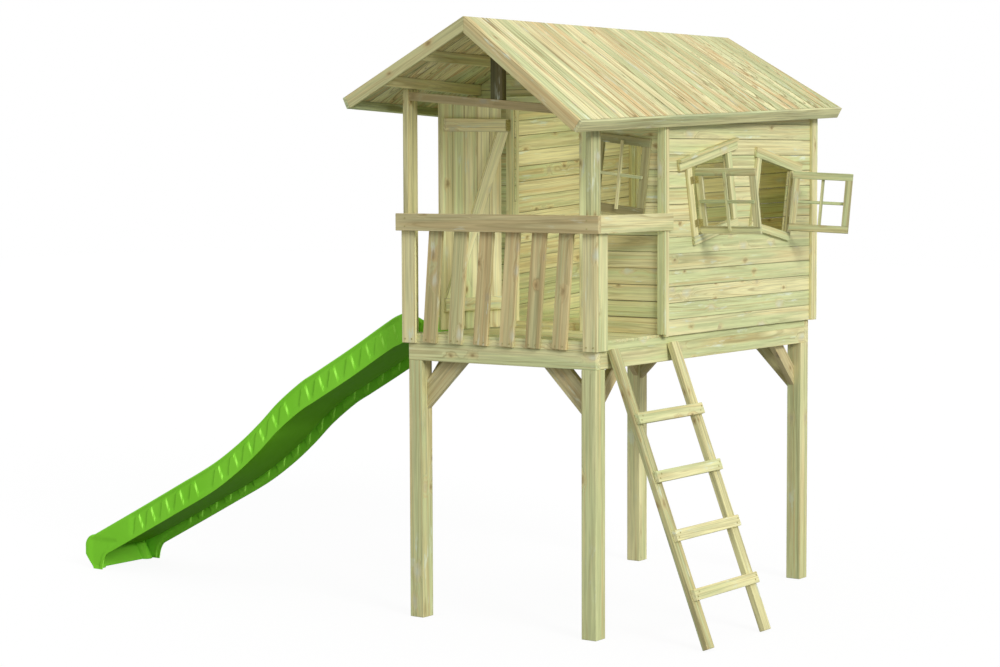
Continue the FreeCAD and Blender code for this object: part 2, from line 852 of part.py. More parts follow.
def fixed_half(height, closed, level):
    """Plate, outer knuckles and pin of one hinge, on the frame that stays still."""
    solids = []
    for solid in hinge_leaf(height, False, -1, s.knuckle_radius) + [hinge_pin(height)]:
        moved = solid.translated(vector(0, 0, level))
        moved.Placement = closed.multiply(moved.Placement)
        solids.append(moved)
    return solids


def casement_hinge_levels(index):
    """Places of a casement's two hinges along its axis."""
    rise = side_window_spots()[index][3]
    level = rise / 2 - s.casement_gap - s.casement_bar - s.casement_hinge_height / 2
    return (-level, level)


def casement_frame(index):
    """Placement of a closed casement's own frame, with its origin on the hinge axis.

    X runs along the leaf, Y into the house and Z along the axis, which
    points up in the first casement and down in the second.
    """
    _, _, width, _, _ = side_window_spots()[index]
    out = s.board_thickness + s.knuckle_radius
    if index == 0:
        hung = spot(out, -width / 2, 0, (0, 0, 1), 90)
    else:
        hung = spot(out, width / 2, 0, (0, 0, 1), -90).multiply(spot(0, 0, 0, (1, 0, 0), 180))
    return window_place(index).multiply(hung)


def casement_place(index):
    """Placement of a casement as it stands open."""
    angles = (s.casement_1_open_angle, s.casement_2_open_angle)
    return casement_frame(index).multiply(spot(0, 0, 0, (0, 0, 1), -angles[index]))


def make_casement(index):
    """Four-pane casement, standing open."""
    _, _, width, rise, _ = side_window_spots()[index]
    leaf_width = width - s.casement_gap - s.casement_free_gap
    inner_width = leaf_width - 2 * s.casement_bar
    inner_rise = rise - 2 * s.casement_gap - 2 * s.casement_bar
    thick = s.casement_thickness
    middle = spot(s.casement_gap + leaf_width / 2, s.knuckle_radius, 0, (0, 0, 1), -90)
    place = casement_place(index).multiply(middle)
    tag = f"casement_{index + 1}"
    feature(tag + "_frame", ring(inner_width, inner_rise, s.casement_bar, thick, -thick), place)
    feature(tag + "_muntins", cross(inner_width, inner_rise, 0), place)


def make_hinges():
    """Butt hinges of the door and the casements: moving plates, then fixed ones."""
    height = s.door_hinge_height
    levels = door_hinge_levels()
    moving = hinge_leaf(height, True, 1, s.knuckle_radius - s.seat_clearance)
    feature("door_hinges", [solid.translated(vector(0, 0, level)) for level in levels
                            for solid in moving], door_place())
    x, y = door_axis()
    fixed = [solid for level in levels for solid in fixed_half(height, spot(x, y, 0), level)]
    height = s.casement_hinge_height
    for index in (0, 1):
        levels = casement_hinge_levels(index)
        moving = hinge_leaf(height, True, 1, s.knuckle_radius)
        feature(f"casement_{index + 1}_hinges",
                [solid.translated(vector(0, 0, level)) for level in levels for solid in moving],
                casement_place(index))
        for level in levels:
            fixed += fixed_half(height, casement_frame(index), level)
    feature("hinges_fixed", fixed)


def make_ladder():
    """Two leaning stringers with rungs on their outer faces."""
    lean = math.radians(s.ladder_lean)
    long = s.deck_underside / math.cos(lean)
    foot_reach = s.deck_underside * math.tan(lean) + s.seat_clearance
    place = spot(right + foot_reach, front + s.ladder_left, 0, (0, -1, 0), s.ladder_lean)
    gap = s.ladder_width - s.stringer_width
    stringers = [Part.makeBox(s.stringer_thickness, s.stringer_width, long, vector(0, y, 0))
                 for y in (0, gap)]
    feature("ladder_stringers", stringers, place)
    rungs = []
    for index in range(int(s.rung_count)):
        rise = s.first_rung_top + index * s.rung_spacing
        top = (rise - s.stringer_thickness * math.sin(lean)) / math.cos(lean)
        rungs.append(Part.makeBox(s.rung_thickness, s.rung_length, s.rung_height,
                                  vector(s.stringer_thickness, (s.ladder_width - s.rung_length) / 2,
                                         top - s.rung_height)))
    feature("ladder_rungs", rungs, place)


# Veranda

def make_veranda_posts():
    """Two posts that carry the roof over the veranda."""
    thick = s.post_width
    deep = s.post_depth
    x_right = right - s.right_post_inset - thick
    tops = [min(under_purlin(x, x + thick, y, side) for y in (front, front + deep))
            for x, side in ((x_right, 1), (left - thick, -1))]
    for name, x, foot, top in (("veranda_post_right", x_right, floor_top, tops[0]),
                               ("veranda_post_left", left - thick, floor_top - s.post_foot_drop,
                                tops[1])):
        lift = s.roof_clearance - 2 * s.seat_clearance
        feature(name, [Part.makeBox(thick, deep, top + lift - foot, vector(x, front, foot))])


def cross_beam_top(x):
    """Height of the cross beam's upper face."""
    x_end = ridge + s.purlin_right_offset - s.purlin_width / 2
    return blend(s.cross_beam_left_top, s.cross_beam_right_top, (x - left) / (x_end - left))


def make_cross_beam():
    """Sloping beam between the posts, and the king post that stands on it."""
    x_end = ridge + s.purlin_right_offset - s.purlin_width / 2 - s.seat_clearance
    y = front + s.cross_beam_setback
    ends = (left, x_end)
    outline = [(x, cross_beam_top(x) - s.cross_beam_height) for x in ends]
    outline += [(x, cross_beam_top(x)) for x in reversed(ends)]
    feature("cross_beam", [prism_xz(outline, y, s.cross_beam_depth)])
    x_post = right - s.king_post_inset - s.king_post_width
    y_post = y + (s.cross_beam_depth - s.king_post_depth) / 2
    top = min(ridge_outline(place)[0][1] for place in (y_post, y_post + s.king_post_depth))
    sides = (x_post, x_post + s.king_post_width)
    outline = [(x, cross_beam_top(x)) for x in sides]
    outline += [(x, top - s.seat_clearance) for x in reversed(sides)]
    feature("king_post", [prism_xz(outline, y_post, s.king_post_depth)])


def make_rails():
    """Front hand rail, and a side rail notched over the corner trim."""
    keep(timber("rail_front",
                (LEFT + " - rail_overrun", FRONT + " - board_thickness - rail_thickness", RAIL_FOOT),
                ("frame_width + rail_overrun + board_thickness + rail_thickness",
                 "rail_thickness", "rail_height")), "rail_front")
    bar = timber("rail_side_bar", (RIGHT + " + board_thickness", FRONT + " - board_thickness",
                                   RAIL_FOOT),
                 ("rail_thickness", "side_rail_end + board_thickness", "rail_height"))
    notch = timber("rail_side_notch",
                   (RIGHT + " + board_thickness",
                    FRONT + " + cabin_front - board_thickness - seat_clearance", RAIL_FOOT),
                   ("board_thickness + seat_clearance",
                    "board_thickness + trim_side_width + 2 * seat_clearance", "rail_height"))
    rail = doc.addObject("Part::Cut", "rail_side")
    rail.Base = bar
    rail.Tool = notch
    keep(rail, "rail_side")


def make_balusters():
    """Leaning boards between the floor frame and the front rail."""
    foot = s.deck_underside + s.baluster_foot_gap
    long = (s.rail_top - s.baluster_top_gap - foot) / math.cos(math.radians(s.baluster_lean))
    lower = (long - s.rail_height) * math.sin(math.radians(s.baluster_lean))
    boards = []
    for index in range(int(s.baluster_count)):
        x = left + s.baluster_first + index * s.baluster_pitch - lower
        board = Part.makeBox(s.baluster_width, s.board_thickness, long,
                             vector(-s.baluster_width / 2, 0, 0))
        board.Placement = spot(x, front - s.board_thickness, foot, (0, 1, 0), s.baluster_lean)
        boards.append(board)
    feature("balusters", boards)


def make_corner_boards():
    """Upright boards at both ends of the front rail and behind the side rail."""
    tall = "rail_top - baluster_top_gap - deck_underside"
    front_y = FRONT + " - board_thickness"
    group("corner_boards", [
        timber("left_board", (LEFT + " - post_width", front_y, "deck_underside"),
               ("corner_board_width", "board_thickness", tall)),
        timber("right_board", (RIGHT + " + board_thickness - corner_board_width", front_y,
                               "deck_underside"),
               ("corner_board_width", "board_thickness", tall)),
        timber("side_board", (RIGHT, FRONT, "deck_underside"),
               ("board_thickness", "corner_board_width", tall)),
    ])


# Roof

def sloped_board(side, y_slope, y_start, depth, thickness):
    """Board down one side of the roof: upright at the ridge, cut square before the fascia."""
    x_top = ridge + side * s.board_gap / 2
    upright = skin(thickness, slope(side, y_slope))
    run = min(eave_run(side, y) for y in (y_start, y_start + depth))
    run -= s.board_thickness + s.board_gap
    outline = [
        (x_top, s.ridge_height), down_roof(side, y_slope, run, 0),
        down_roof(side, y_slope, run, thickness), (x_top, s.ridge_height - upright),
    ]
    return prism_xz(outline, y_start, depth)


def make_roof_boards():
    """Straight boards side by side, each at its own slope."""
    y_first = roof_front + s.board_thickness
    pitch = (roof_back - roof_front - 2 * s.board_thickness) / s.roof_board_count
    for name, side in (("roof_boards_left", -1), ("roof_boards_right", 1)):
        feature(name, [
            sloped_board(side, y_first + (index + 1 / 2) * pitch, y_first + index * pitch,
                         pitch - s.board_gap, s.roof_board_thickness)
            for index in range(int(s.roof_board_count))])


def make_bargeboards():
    """Boards over the ends of the roof boards at both gables."""
    thick = s.board_thickness - s.board_gap
    for name, y_slope, y in (("bargeboards_front", roof_front, roof_front),
                             ("bargeboards_rear", roof_back, roof_back - thick)):
        feature(name, [sloped_board(side, y_slope, y, thick, s.bargeboard_width)
                       for side in (-1, 1)])


def fascia_outline(side, y):
    """Section of a fascia, square to the roof and with its top in line with it."""
    outer = eave_run(side, y)
    inner = outer - s.board_thickness
    return [down_roof(side, y, along, deep)
            for along, deep in ((outer, s.fascia_height), (outer, 0), (inner, 0),
                                (inner, s.fascia_height))]


def make_fascias():
    """Boards along both eaves."""
    for name, side in (("fascia_left", -1), ("fascia_right", 1)):
        feature(name, [between(fascia_outline(side, roof_front), fascia_outline(side, roof_back),
                               roof_front, roof_back)])


def make_roof_timbers():
    """Purlins and ridge beam."""
    solids = roof_timbers()
    feature("purlins", solids[:-1])
    feature("ridge_beam", solids[-1:])


# Slide

def smooth_profile(points, place):
    """Value at a place on a smooth curve through (place, value) points."""
    last = len(points) - 1
    index = max(i for i in range(last) if points[i][0] <= place or i == 0)
    slopes = []
    for i in (index, index + 1):
        low = points[max(i - 1, 0)]
        high = points[min(i + 1, last)]
        slopes.append((high[1] - low[1]) / (high[0] - low[0]))
    (x0, z0), (x1, z1) = points[index], points[index + 1]
    step = x1 - x0
    share = (place - x0) / step
    return ((1 + 2 * share) * (1 - share) ** 2 * z0 + share * (1 - share) ** 2 * step * slopes[0]
            + share ** 2 * (3 - 2 * share) * z1 + share ** 2 * (share - 1) * step * slopes[1])


def slide_levels(run):
    """Heights of rim, bed and skirt edge at a distance from the slide's mouth."""
    lip = floor_top + s.slide_skin
    rim_start = s.slide_mouth_run + s.slide_rim_start
    rim_end = rim_start + s.slide_reach
    drop = s.slide_rim_height - s.slide_end_rim
    points = [(rim_start + along * s.slide_reach, s.slide_rim_height - down * drop)
              for along, down in RIM_SHARES]
    if run < rim_start:
        share = run / rim_start
        rim = blend(lip + s.slide_rim_low, s.slide_rim_height, math.sin(share * math.pi / 2))
    elif run <= rim_end:
        rim = smooth_profile(points, run)
    else:
        share = (run - rim_end) / s.slide_nose
        rim = s.slide_end_rim - s.slide_nose * (1 - math.sqrt(max(1 - share ** 2, 0)))
    deep = rim - s.slide_bed_depth
    flat = s.slide_runout_height
    if run < s.slide_mouth_run:
        bed = lip
    elif run < rim_start:
        share = (run - s.slide_mouth_run) / s.slide_rim_start
        bed = blend(lip, s.slide_rim_height - s.slide_bed_depth, share ** 2)
    else:
        bed = (deep + flat + math.hypot(deep - flat, s.slide_runout_rounding)) / 2
    foot_start = rim_end - s.slide_foot_length
    if run <= s.slide_mouth_run:
        low = floor_top
    elif run < rim_start:
        low = blend(bed - s.slide_skin, rim - s.slide_side_height,
                    (run - s.slide_mouth_run) / s.slide_rim_start)
    elif run <= foot_start - s.slide_arch_radius:
        low = rim - s.slide_side_height
    elif run < foot_start:
        share = (foot_start - run) / s.slide_arch_radius
        low = (rim - s.slide_side_height) * math.sqrt(max(1 - (1 - share) ** 2, 0))
    elif run <= rim_end:
        low = 0
    else:
        low = (run - rim_end) / s.slide_nose * s.slide_runout_height
    return rim, bed, low


def slide_section(run):
    """Thin channel section at a distance from the mouth, as a closed wire."""
    rim, bed, low = slide_levels(run)
    skin_out = s.slide_skin
    wide = s.slide_rim_width
    round_rim = min(s.slide_rim_width / 3, (rim - bed) / 3)
    round_bed = min(s.slide_corner_radius, (rim - bed) / 2)
    draft = round_bed / s.slide_corner_radius * s.slide_draft
    foot = wide + draft
    arc = [(foot + round_bed * (1 - math.cos(turn)), round_bed * (1 - math.sin(turn)))
           for turn in (math.pi / 6, math.pi / 3)]
    outer = [(0, low), (0, rim - round_rim), (round_rim, rim), (wide - round_rim, rim),
             (wide, rim - round_rim), (foot, bed + round_bed)]
    outer += [(across, bed + up) for across, up in arc] + [(foot + round_bed, bed)]
    inner = [(foot + round_bed, bed - skin_out)]
    inner += [(across - skin_out / 2, bed + up - skin_out) for across, up in reversed(arc)]
    inner += [(foot - skin_out, bed + round_bed), (wide - skin_out, rim - round_rim - skin_out),
              (wide - round_rim, rim - skin_out), (round_rim, rim - skin_out),
              (skin_out, rim - round_rim - skin_out), (skin_out, low)]
    near = [(across, up) for across, up in outer]
    far = [(s.slide_width - across, up) for across, up in reversed(outer)]
    far_inner = [(s.slide_width - across, up) for across, up in reversed(inner)]
    loop = near + far + far_inner + inner
    x = left + s.slide_mouth_run - run
    points = [vector(x, front + s.slide_near_side + across, up) for across, up in loop]
    return Part.makePolygon(points + points[:1])


def make_slide():
    """Wavy plastic channel from the veranda to the ground."""
    rim_start = s.slide_mouth_run + s.slide_rim_start
    rim_end = rim_start + s.slide_reach
    foot_start = rim_end - s.slide_foot_length
    runs = [s.slide_mouth_run * index / 2 for index in range(3)]
    runs += [s.slide_mouth_run + s.slide_rim_start * index / 4 for index in range(1, 5)]
    arch_start = foot_start - s.slide_arch_radius
    steps = int(s.slide_step_count)
    runs += [blend(rim_start, arch_start, index / steps) for index in range(1, steps + 1)]
    runs += [blend(arch_start, foot_start, share) for share in ARCH_SHARES]
    runs += [foot_start + s.slide_foot_length * index / 2 for index in range(1, 3)]
    runs += [rim_end + s.slide_nose * share for share in NOSE_SHARES]
    channel = Part.makeLoft([slide_section(run) for run in runs], True, True)
    x_mouth = left + s.slide_mouth_run
    last = runs[-1]
    _, bed, low = slide_levels(last)
    thick = s.slide_skin
    top = bed - thick / 2
    lean = (last - rim_end) / low
    apron = prism_xz([
        (x_mouth - rim_end, 0), (x_mouth - rim_end - lean * top, top),
        (x_mouth - rim_end - lean * top + thick, top), (x_mouth - rim_end + thick, 0)],
        front + s.slide_near_side + thick / 2, s.slide_width - thick)
    feature("slide", channel.fuse(apron).Solids)


# Screw heads

def make_screws():
    """Round heads of the screws in the boards of the veranda and in the rungs."""
    y = front - s.board_thickness
    z_low = s.deck_underside + s.screw_inset
    z_high = s.rail_top - s.rail_height / 2
    places = []
    lean = math.tan(math.radians(s.baluster_lean))
    top_level = s.rail_top - s.rail_height
    for index in range(int(s.baluster_count)):
        centre = left + s.baluster_first + index * s.baluster_pitch - (top_level - z_low) * lean
        places += [(centre + side * s.screw_inset, y, z_low) for side in (-1, 1)]
    for start in (left - s.post_width, right + s.board_thickness - s.corner_board_width):
        places += [(start + s.corner_board_width / 2 + side * s.screw_inset, y, z_low)
                   for side in (-1, 1)]
    heads = []
    for x, y_face, z in places:
        heads.append(Part.makeCylinder(s.screw_radius, s.screw_head, vector(x, y_face, z),
                                       vector(0, -1, 0)))
    y_rail = front - s.board_thickness - s.rail_thickness
    ends = [left - s.post_width + s.corner_board_width / 2,
            right + s.board_thickness - s.corner_board_width / 2]
    for x in ends:
        heads += [Part.makeCylinder(s.screw_radius, s.screw_head,
                                    vector(x, y_rail, z_high + side * s.screw_inset),
                                    vector(0, -1, 0)) for side in (-1, 1)]
    lean = math.radians(s.ladder_lean)
    foot_reach = s.deck_underside * math.tan(lean) + s.seat_clearance
    place = spot(right + foot_reach, front + s.ladder_left, 0, (0, -1, 0), s.ladder_lean)
    out = s.stringer_thickness + s.rung_thickness
    gap = s.ladder_width - s.stringer_width
    for index in range(int(s.rung_count)):
        rise = s.first_rung_top + index * s.rung_spacing
        top = (rise - s.stringer_thickness * math.sin(lean)) / math.cos(lean)
        for y_edge in (0, gap):
            for side in (-1, 1):
                head = Part.makeCylinder(
                    s.screw_radius, s.screw_head,
                    vector(out, y_edge + s.stringer_width / 2 + side * s.screw_inset / 2,
                           top - s.rung_height / 2 + side * s.screw_inset / 2),
                    vector(1, 0, 0))
                head.Placement = place.multiply(head.Placement)
                heads.append(head)
    feature("screw_heads", heads)


make_stilts()
make_beams()
make_braces()
make_floor()
make_wall_boards()
make_wall_frames()
make_corner_trims()
make_window_trims()
make_front_window()
make_door_jambs()
make_door()
make_casement(0)
make_casement(1)
make_hinges()
make_ladder()
make_veranda_posts()
make_cross_beam()
make_rails()
make_balusters()
make_corner_boards()
make_roof_boards()
make_bargeboards()
make_fascias()
make_roof_timbers()
make_slide()
make_screws()

doc.recompute()
for item in doc.Objects:
    if "Invalid" in item.State or "Error" in item.State:
        raise RuntimeError(f"{item.Label} failed: {item.State}")
os.makedirs("parts", exist_ok=True)
for node in nodes:
    if node.Shape.isNull() or not node.Shape.isValid():
        raise RuntimeError(f"{node.Label} has no valid shape")
    node.Shape.exportStep(f"parts/{node.Label}.step")
    print(node.Label, len(node.Shape.Solids), round(node.Shape.Volume))
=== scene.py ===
"""Stilt playhouse: planed timber, a moulded slide, steel hardware and a plain studio."""

import json
import logging
import math
import random
from dataclasses import dataclass
from enum import Enum
from typing import Callable, Iterable, Iterator, Optional

import bmesh
import bpy
from mathutils import Matrix, Vector

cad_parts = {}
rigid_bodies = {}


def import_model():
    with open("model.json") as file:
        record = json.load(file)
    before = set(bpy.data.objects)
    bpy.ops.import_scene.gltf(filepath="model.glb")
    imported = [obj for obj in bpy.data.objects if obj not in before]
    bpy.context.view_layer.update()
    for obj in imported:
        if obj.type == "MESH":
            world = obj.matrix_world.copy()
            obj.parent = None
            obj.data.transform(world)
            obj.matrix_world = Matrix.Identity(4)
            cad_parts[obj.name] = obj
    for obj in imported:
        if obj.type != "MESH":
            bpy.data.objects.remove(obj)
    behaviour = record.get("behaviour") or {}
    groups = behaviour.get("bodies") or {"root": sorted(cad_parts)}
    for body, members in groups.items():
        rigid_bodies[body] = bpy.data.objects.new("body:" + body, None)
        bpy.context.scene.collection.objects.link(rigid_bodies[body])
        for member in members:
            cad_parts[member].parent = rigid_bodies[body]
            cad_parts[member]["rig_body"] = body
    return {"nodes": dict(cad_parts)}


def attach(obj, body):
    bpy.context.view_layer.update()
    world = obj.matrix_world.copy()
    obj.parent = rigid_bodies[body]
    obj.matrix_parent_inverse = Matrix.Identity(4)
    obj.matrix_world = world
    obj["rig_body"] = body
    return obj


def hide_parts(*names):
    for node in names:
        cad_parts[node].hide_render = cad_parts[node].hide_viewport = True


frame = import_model()

log = logging.getLogger("stilt_playhouse")

Colour = tuple[float, float, float, float]
Triple = tuple[float, float, float]
Pair = tuple[float, float]
Socket = bpy.types.NodeSocket
Shape = bmesh.types.BMesh


def srgb(red: int, green: int, blue: int) -> Colour:
    """Scene-linear colour of a display colour.

    Args:
        red: Red from 0 to 255.
        green: Green from 0 to 255.
        blue: Blue from 0 to 255.

    Returns:
        The colour with an alpha of 1.
    """
    channels = []
    for value in (red / 255, green / 255, blue / 255):
        channels.append(value / 12.92 if value <= 0.04045 else ((value + 0.055) / 1.055) ** 2.4)
    return channels[0], channels[1], channels[2], 1.0


def mix(first: float, last: float, share: float) -> float:
    """Value that lies a share of the way from first to last."""
    return first + (last - first) * share


def ramp(start: float, end: float, value: float) -> float:
    """Smooth step from 0 at start to 1 at end."""
    share = min(max((value - start) / (end - start), 0.0), 1.0)
    return share * share * (3 - 2 * share)


class Nodes:
    """Short calls for laying out a tree of shader nodes."""

    def __init__(self, tree: bpy.types.NodeTree) -> None:
        """Clear the tree and take it over."""
        self.tree = tree
        self.tree.nodes.clear()

    def feed(self, socket: Socket, value: object) -> None:
        """Link an output into a socket, or set the socket to a plain value."""
        if isinstance(value, Socket):
            self.tree.links.new(value, socket)
        else:
            socket.default_value = value

    def add(self, kind: str, *values: object, **settings: object) -> bpy.types.Node:
        """New node with its first inputs fed.

        Args:
            kind: Type of the node, without its prefix.
            values: Sockets or plain values, for the inputs in their order.
            settings: Values of the node's own settings.

        Returns:
            The node.
        """
        node = self.tree.nodes.new("ShaderNode" + kind)
        for name, value in settings.items():
            setattr(node, name, value)
        for socket, value in zip(node.inputs, values):
            self.feed(socket, value)
        return node

    def set(self, node: bpy.types.Node, **values: object) -> bpy.types.Node:
        """Feed a node's inputs by name, with _ for each space."""
        for name, value in values.items():
            self.feed(node.inputs[name.replace("_", " ")], value)
        return node

    def math(self, operation: str, *values: object) -> Socket:
        """Result of a Math node."""
        return self.add("Math", *values, operation=operation).outputs[0]


class Shader(Nodes):
    """Nodes of one material around a principled surface."""

    def __init__(self, name: str) -> None:
        """Start a material with an empty surface.

        Args:
            name: Name of the material.
        """
        self.material = bpy.data.materials.new(name)
        self.material.use_nodes = True
        super().__init__(self.material.node_tree)
        self.surface = self.add("BsdfPrincipled")
        self.output = self.add("OutputMaterial", self.surface.outputs[0])

    def attribute(self, name: str) -> Socket:
        """Vector read from an attribute of the mesh."""
        return self.add("Attribute", attribute_name=name).outputs["Vector"]

    def share(self, name: str) -> Socket:
        """Number read from an attribute of the mesh."""
        return self.split(self.attribute(name))[0]

    def position(self) -> Socket:
        """Object coordinates."""
        return self.add("TexCoord").outputs["Object"]

    def split(self, vector: object) -> tuple[Socket, ...]:
        """X, Y and Z of a vector."""
        return tuple(self.add("SeparateXYZ", vector).outputs)

    def join(self, x: object, y: object, z: object) -> Socket:
        """Vector made of three values."""
        return self.add("CombineXYZ", x, y, z).outputs[0]

    def vector(self, operation: str, *values: object) -> Socket:
        """Result of a Vector Math node."""
        node = self.add("VectorMath", *values, operation=operation)
        return node.outputs["Value" if operation == "LENGTH" else "Vector"]

    def step(self, value: object, low: float, high: float, first: float = 0.0,
             last: float = 1.0) -> Socket:
        """Smooth step of a value.

        Args:
            value: Socket to be mapped.
            low: Value at which the step starts.
            high: Value at which the step ends.
            first: Result at and before low.
            last: Result at and past high.

        Returns:
            The result's socket.
        """
        return self.add("MapRange", value, low, high, first, last,
                        interpolation_type="SMOOTHSTEP").outputs[0]

    def noise(self, vector: object, cells: object, detail: float, rough: float = 0.5) -> Socket:
        """Value of a noise texture.

        Args:
            vector: Coordinates of the pattern.
            cells: Cells per unit, as one number or one for each axis.
            detail: Octaves.
            rough: Strength of the finer octaves.

        Returns:
            The value's socket, from 0 to 1.
        """
        if isinstance(cells, tuple):
            vector, cells = self.vector("MULTIPLY", vector, cells), 1.0
        node = self.set(self.add("TexNoise"), Vector=vector, Scale=cells, Detail=detail,
                        Roughness=rough)
        return node.outputs[0]

    def colour(self, share: object, first: object, last: object, blend: str = "MIX") -> Socket:
        """Mix of two colours.

        Args:
            share: Share of the last colour.
            first: Socket or colour at 0.
            last: Socket or colour at 1.
            blend: Name of the blend type.

        Returns:
            The colour's socket.
        """
        node = self.add("Mix", share, data_type="RGBA", blend_type=blend)
        first_colour, last_colour = node.inputs[6:8]
        self.feed(first_colour, first)
        self.feed(last_colour, last)
        return node.outputs[2]

    def grey(self, value: Socket) -> Socket:
        """Grey of a value, for a multiply."""
        return self.add("CombineColor", value, value, value).outputs[0]

    def relief(self, height: object, distance: float, strength: float) -> None:
        """Bump the surface.

        Args:
            height: Height's socket.
            distance: Depth in metres for a height of 1.
            strength: Strength of the bump.
        """
        bump = self.set(self.add("Bump"), Strength=strength, Distance=distance, Height=height)
        self.set(self.surface, Normal=bump.outputs[0])


@dataclass(frozen=True)
class TimberFinish:
    """Pressure-treated softwood. Strengths and shares run from 0 to 1, and cells are per metre.

    A range holds the ends of a smooth step, and cells and shifts start with the board's length.
    A pith, pull or size with two numbers is a factor and what is added.
    """

    name: str
    pale: Colour = srgb(238, 232, 176)
    green: Colour = srgb(213, 220, 162)
    warm: Colour = srgb(224, 200, 138)
    latewood: Colour = srgb(152, 132, 78)
    salts: Colour = srgb(230, 240, 216)
    knot: Colour = srgb(140, 116, 72)
    # Colour of dark joints, and of painted shade along the edges of trims, casements and door pieces.
    joint: Colour = srgb(84, 72, 42)
    joint_strength: float = 0.0
    heat: float = 0.0
    band_strength: float = 0.6
    line_strength: float = 0.5
    early_strength: float = 0.35
    bloom_strength: float = 0.8
    streak_strength: float = 0.16
    halo_strength: float = 0.45
    tone_low: float = 0.9
    sheen_high: float = 1.04
    knot_share: float = 0.86
    roughness: float = 0.66
    gloss: float = 0.25
    seed_shift: Triple = (61.0, 47.0, 29.0)
    seed_drift: float = 37.0
    slow: float = 0.55
    line_stretch: float = 2.2
    band_density: float = 70.0
    line_density: float = 230.0
    fibre_relief: float = 0.5
    relief_depth: float = 0.0012
    relief_strength: float = 0.6
    pith_side: Pair = (0.12, -0.06)
    pith_lean: Pair = (0.024, -0.012)
    pith_depth: Pair = (0.06, 0.015)
    green_pull: float = 0.34
    warm_pull: Pair = (-0.14, 0.07)
    fibre_low: float = 0.94
    fibre_cells: Triple = (9.0, 420.0, 420.0)
    stain_cells: Triple = (0.9, 12.0, 7.0)
    streak_cells: Triple = (1.8, 62.0, 44.0)
    bloom_cells: Triple = (7.0, 42.0, 16.0)
    patch_cells: Triple = (2.2, 8.0, 5.0)
    wander_cells: Triple = (1.1, 4.0, 4.0)
    wander: float = 0.026
    knot_bulge: float = 0.02
    knot_cells: Pair = (6.5, 12.0)
    knot_shift: Pair = (71.0, 31.0)
    ragged_cells: Pair = (4.0, 5.0)
    raggedness: float = 0.28
    knot_size: Pair = (0.9, 0.6)
    bulge_range: Pair = (0.62, 0.05)
    halo_range: Pair = (0.52, 0.22)
    heart_range: Pair = (0.34, 0.13)
    spot_range: Pair = (0.42, 0.14)
    shine_range: Pair = (0.3, 0.7)
    streak_range: Pair = (0.36, 0.6)
    green_range: Pair = (0.52, 0.8)
    warm_range: Pair = (0.47, 0.68)
    line_range: Pair = (0.5, 0.72)
    early_range: Pair = (0.46, 0.3)
    bloom_range: Pair = (0.55, 0.7)
    patch_range: Pair = (0.5, 0.66)

    def material(self) -> bpy.types.Material:
        """Grain that runs along each board, by the attributes grain and board, with dark joints and painted
        edge shade on the eased arrises.

        Returns:
            The finished material.
        """
        shader = Shader(self.name)
        grain = shader.attribute("grain")
        board = shader.attribute("board")
        along, across, deep = shader.split(grain)
        tone, hue, seed = shader.split(board)
        place = shader.vector("ADD", grain, shader.vector("MULTIPLY", board, self.seed_shift))
        knot, kind = self._knots(shader, along, shader.math("ADD", across, deep), seed)
        radius = self._rings(shader, place, (along, across, deep), (tone, hue, seed), knot)
        drift = shader.math("MULTIPLY", seed, self.seed_drift)
        slow = shader.math("MULTIPLY_ADD", along, self.slow, drift)
        bands = shader.join(slow, shader.math("MULTIPLY", radius, self.band_density), drift)
        lines = shader.join(shader.math("MULTIPLY", slow, self.line_stretch),
                            shader.math("MULTIPLY", radius, self.line_density), drift)
        band = shader.noise(bands, 1.0, 3.0, 0.62)
        line = shader.noise(lines, 1.0, 3.0, 0.6)
        fibre = shader.noise(place, self.fibre_cells, 2.0, 0.6)

        colour = self._wood(shader, place, (tone, hue), band, line)
        colour = self._spots(shader, colour, knot, kind)
        # Eased arrises darkened: dark joints between boards, and painted shade along edges.
        joint_and_edge_shade_share = shader.math("MULTIPLY", shader.share("joint"), self.joint_strength)
        colour = shader.colour(joint_and_edge_shade_share, colour, self.joint)
        streak = shader.noise(place, self.streak_cells, 3.0, 0.65)
        light = shader.math("MULTIPLY_ADD", tone, 1.0 - self.tone_low, self.tone_low)
        for value, limits, dim in ((fibre, self.shine_range, self.fibre_low),
                                   (streak, self.streak_range, 1.0 - self.streak_strength)):
            light = shader.math("MULTIPLY", light, shader.step(value, *limits, dim, self.sheen_high))
        colour = shader.colour(1.0, colour, shader.grey(light), "MULTIPLY")
        rough = shader.step(line, *self.shine_range, self.roughness + 0.06, self.roughness - 0.1)
        shader.set(shader.surface, Base_Color=colour, Roughness=rough,
                   Specular_IOR_Level=self.gloss)
        shader.relief(shader.math("MULTIPLY_ADD", fibre, self.fibre_relief, line),
                      self.relief_depth, self.relief_strength)
        return shader.material

    def _wood(self, shader: Shader, place: object, marks: tuple, band: object,
              line: object) -> Socket:
        """Clear wood: green and warm bands, latewood lines and a bloom of salts.

        Args:
            shader: Material in the making.
            place: Shifted grain coordinates.
            marks: Two of the board's random numbers.
            band: Noise of the broad bands.
            line: Noise of the fine lines.

        Returns:
            The colour.
        """
        tone, hue = marks
        stain = shader.noise(place, self.stain_cells, 2.0, 0.6)
        bloom = shader.noise(place, self.bloom_cells, 3.0, 0.65)
        patch = shader.noise(place, self.patch_cells, 1.0)
        pull, start = self.warm_pull
        greenish = shader.step(shader.math("MULTIPLY_ADD", hue, self.green_pull, stain),
                               *self.green_range)
        colour = shader.colour(greenish, self.pale, self.green)
        warmth = shader.math("ADD", band, shader.math("MULTIPLY_ADD", tone, pull, self.heat + start))
        for value, limits, strength, tint in (
                (warmth, self.warm_range, self.band_strength, self.warm),
                (line, self.line_range, self.line_strength, self.latewood),
                (line, self.early_range, self.early_strength, self.pale)):
            share = shader.math("MULTIPLY", shader.step(value, *limits), strength)
            colour = shader.colour(share, colour, tint)
        share = shader.math("MULTIPLY", shader.step(bloom, *self.bloom_range),
                            shader.step(patch, *self.patch_range))
        share = shader.math("MULTIPLY", share, self.bloom_strength)
        return shader.colour(share, colour, self.salts)

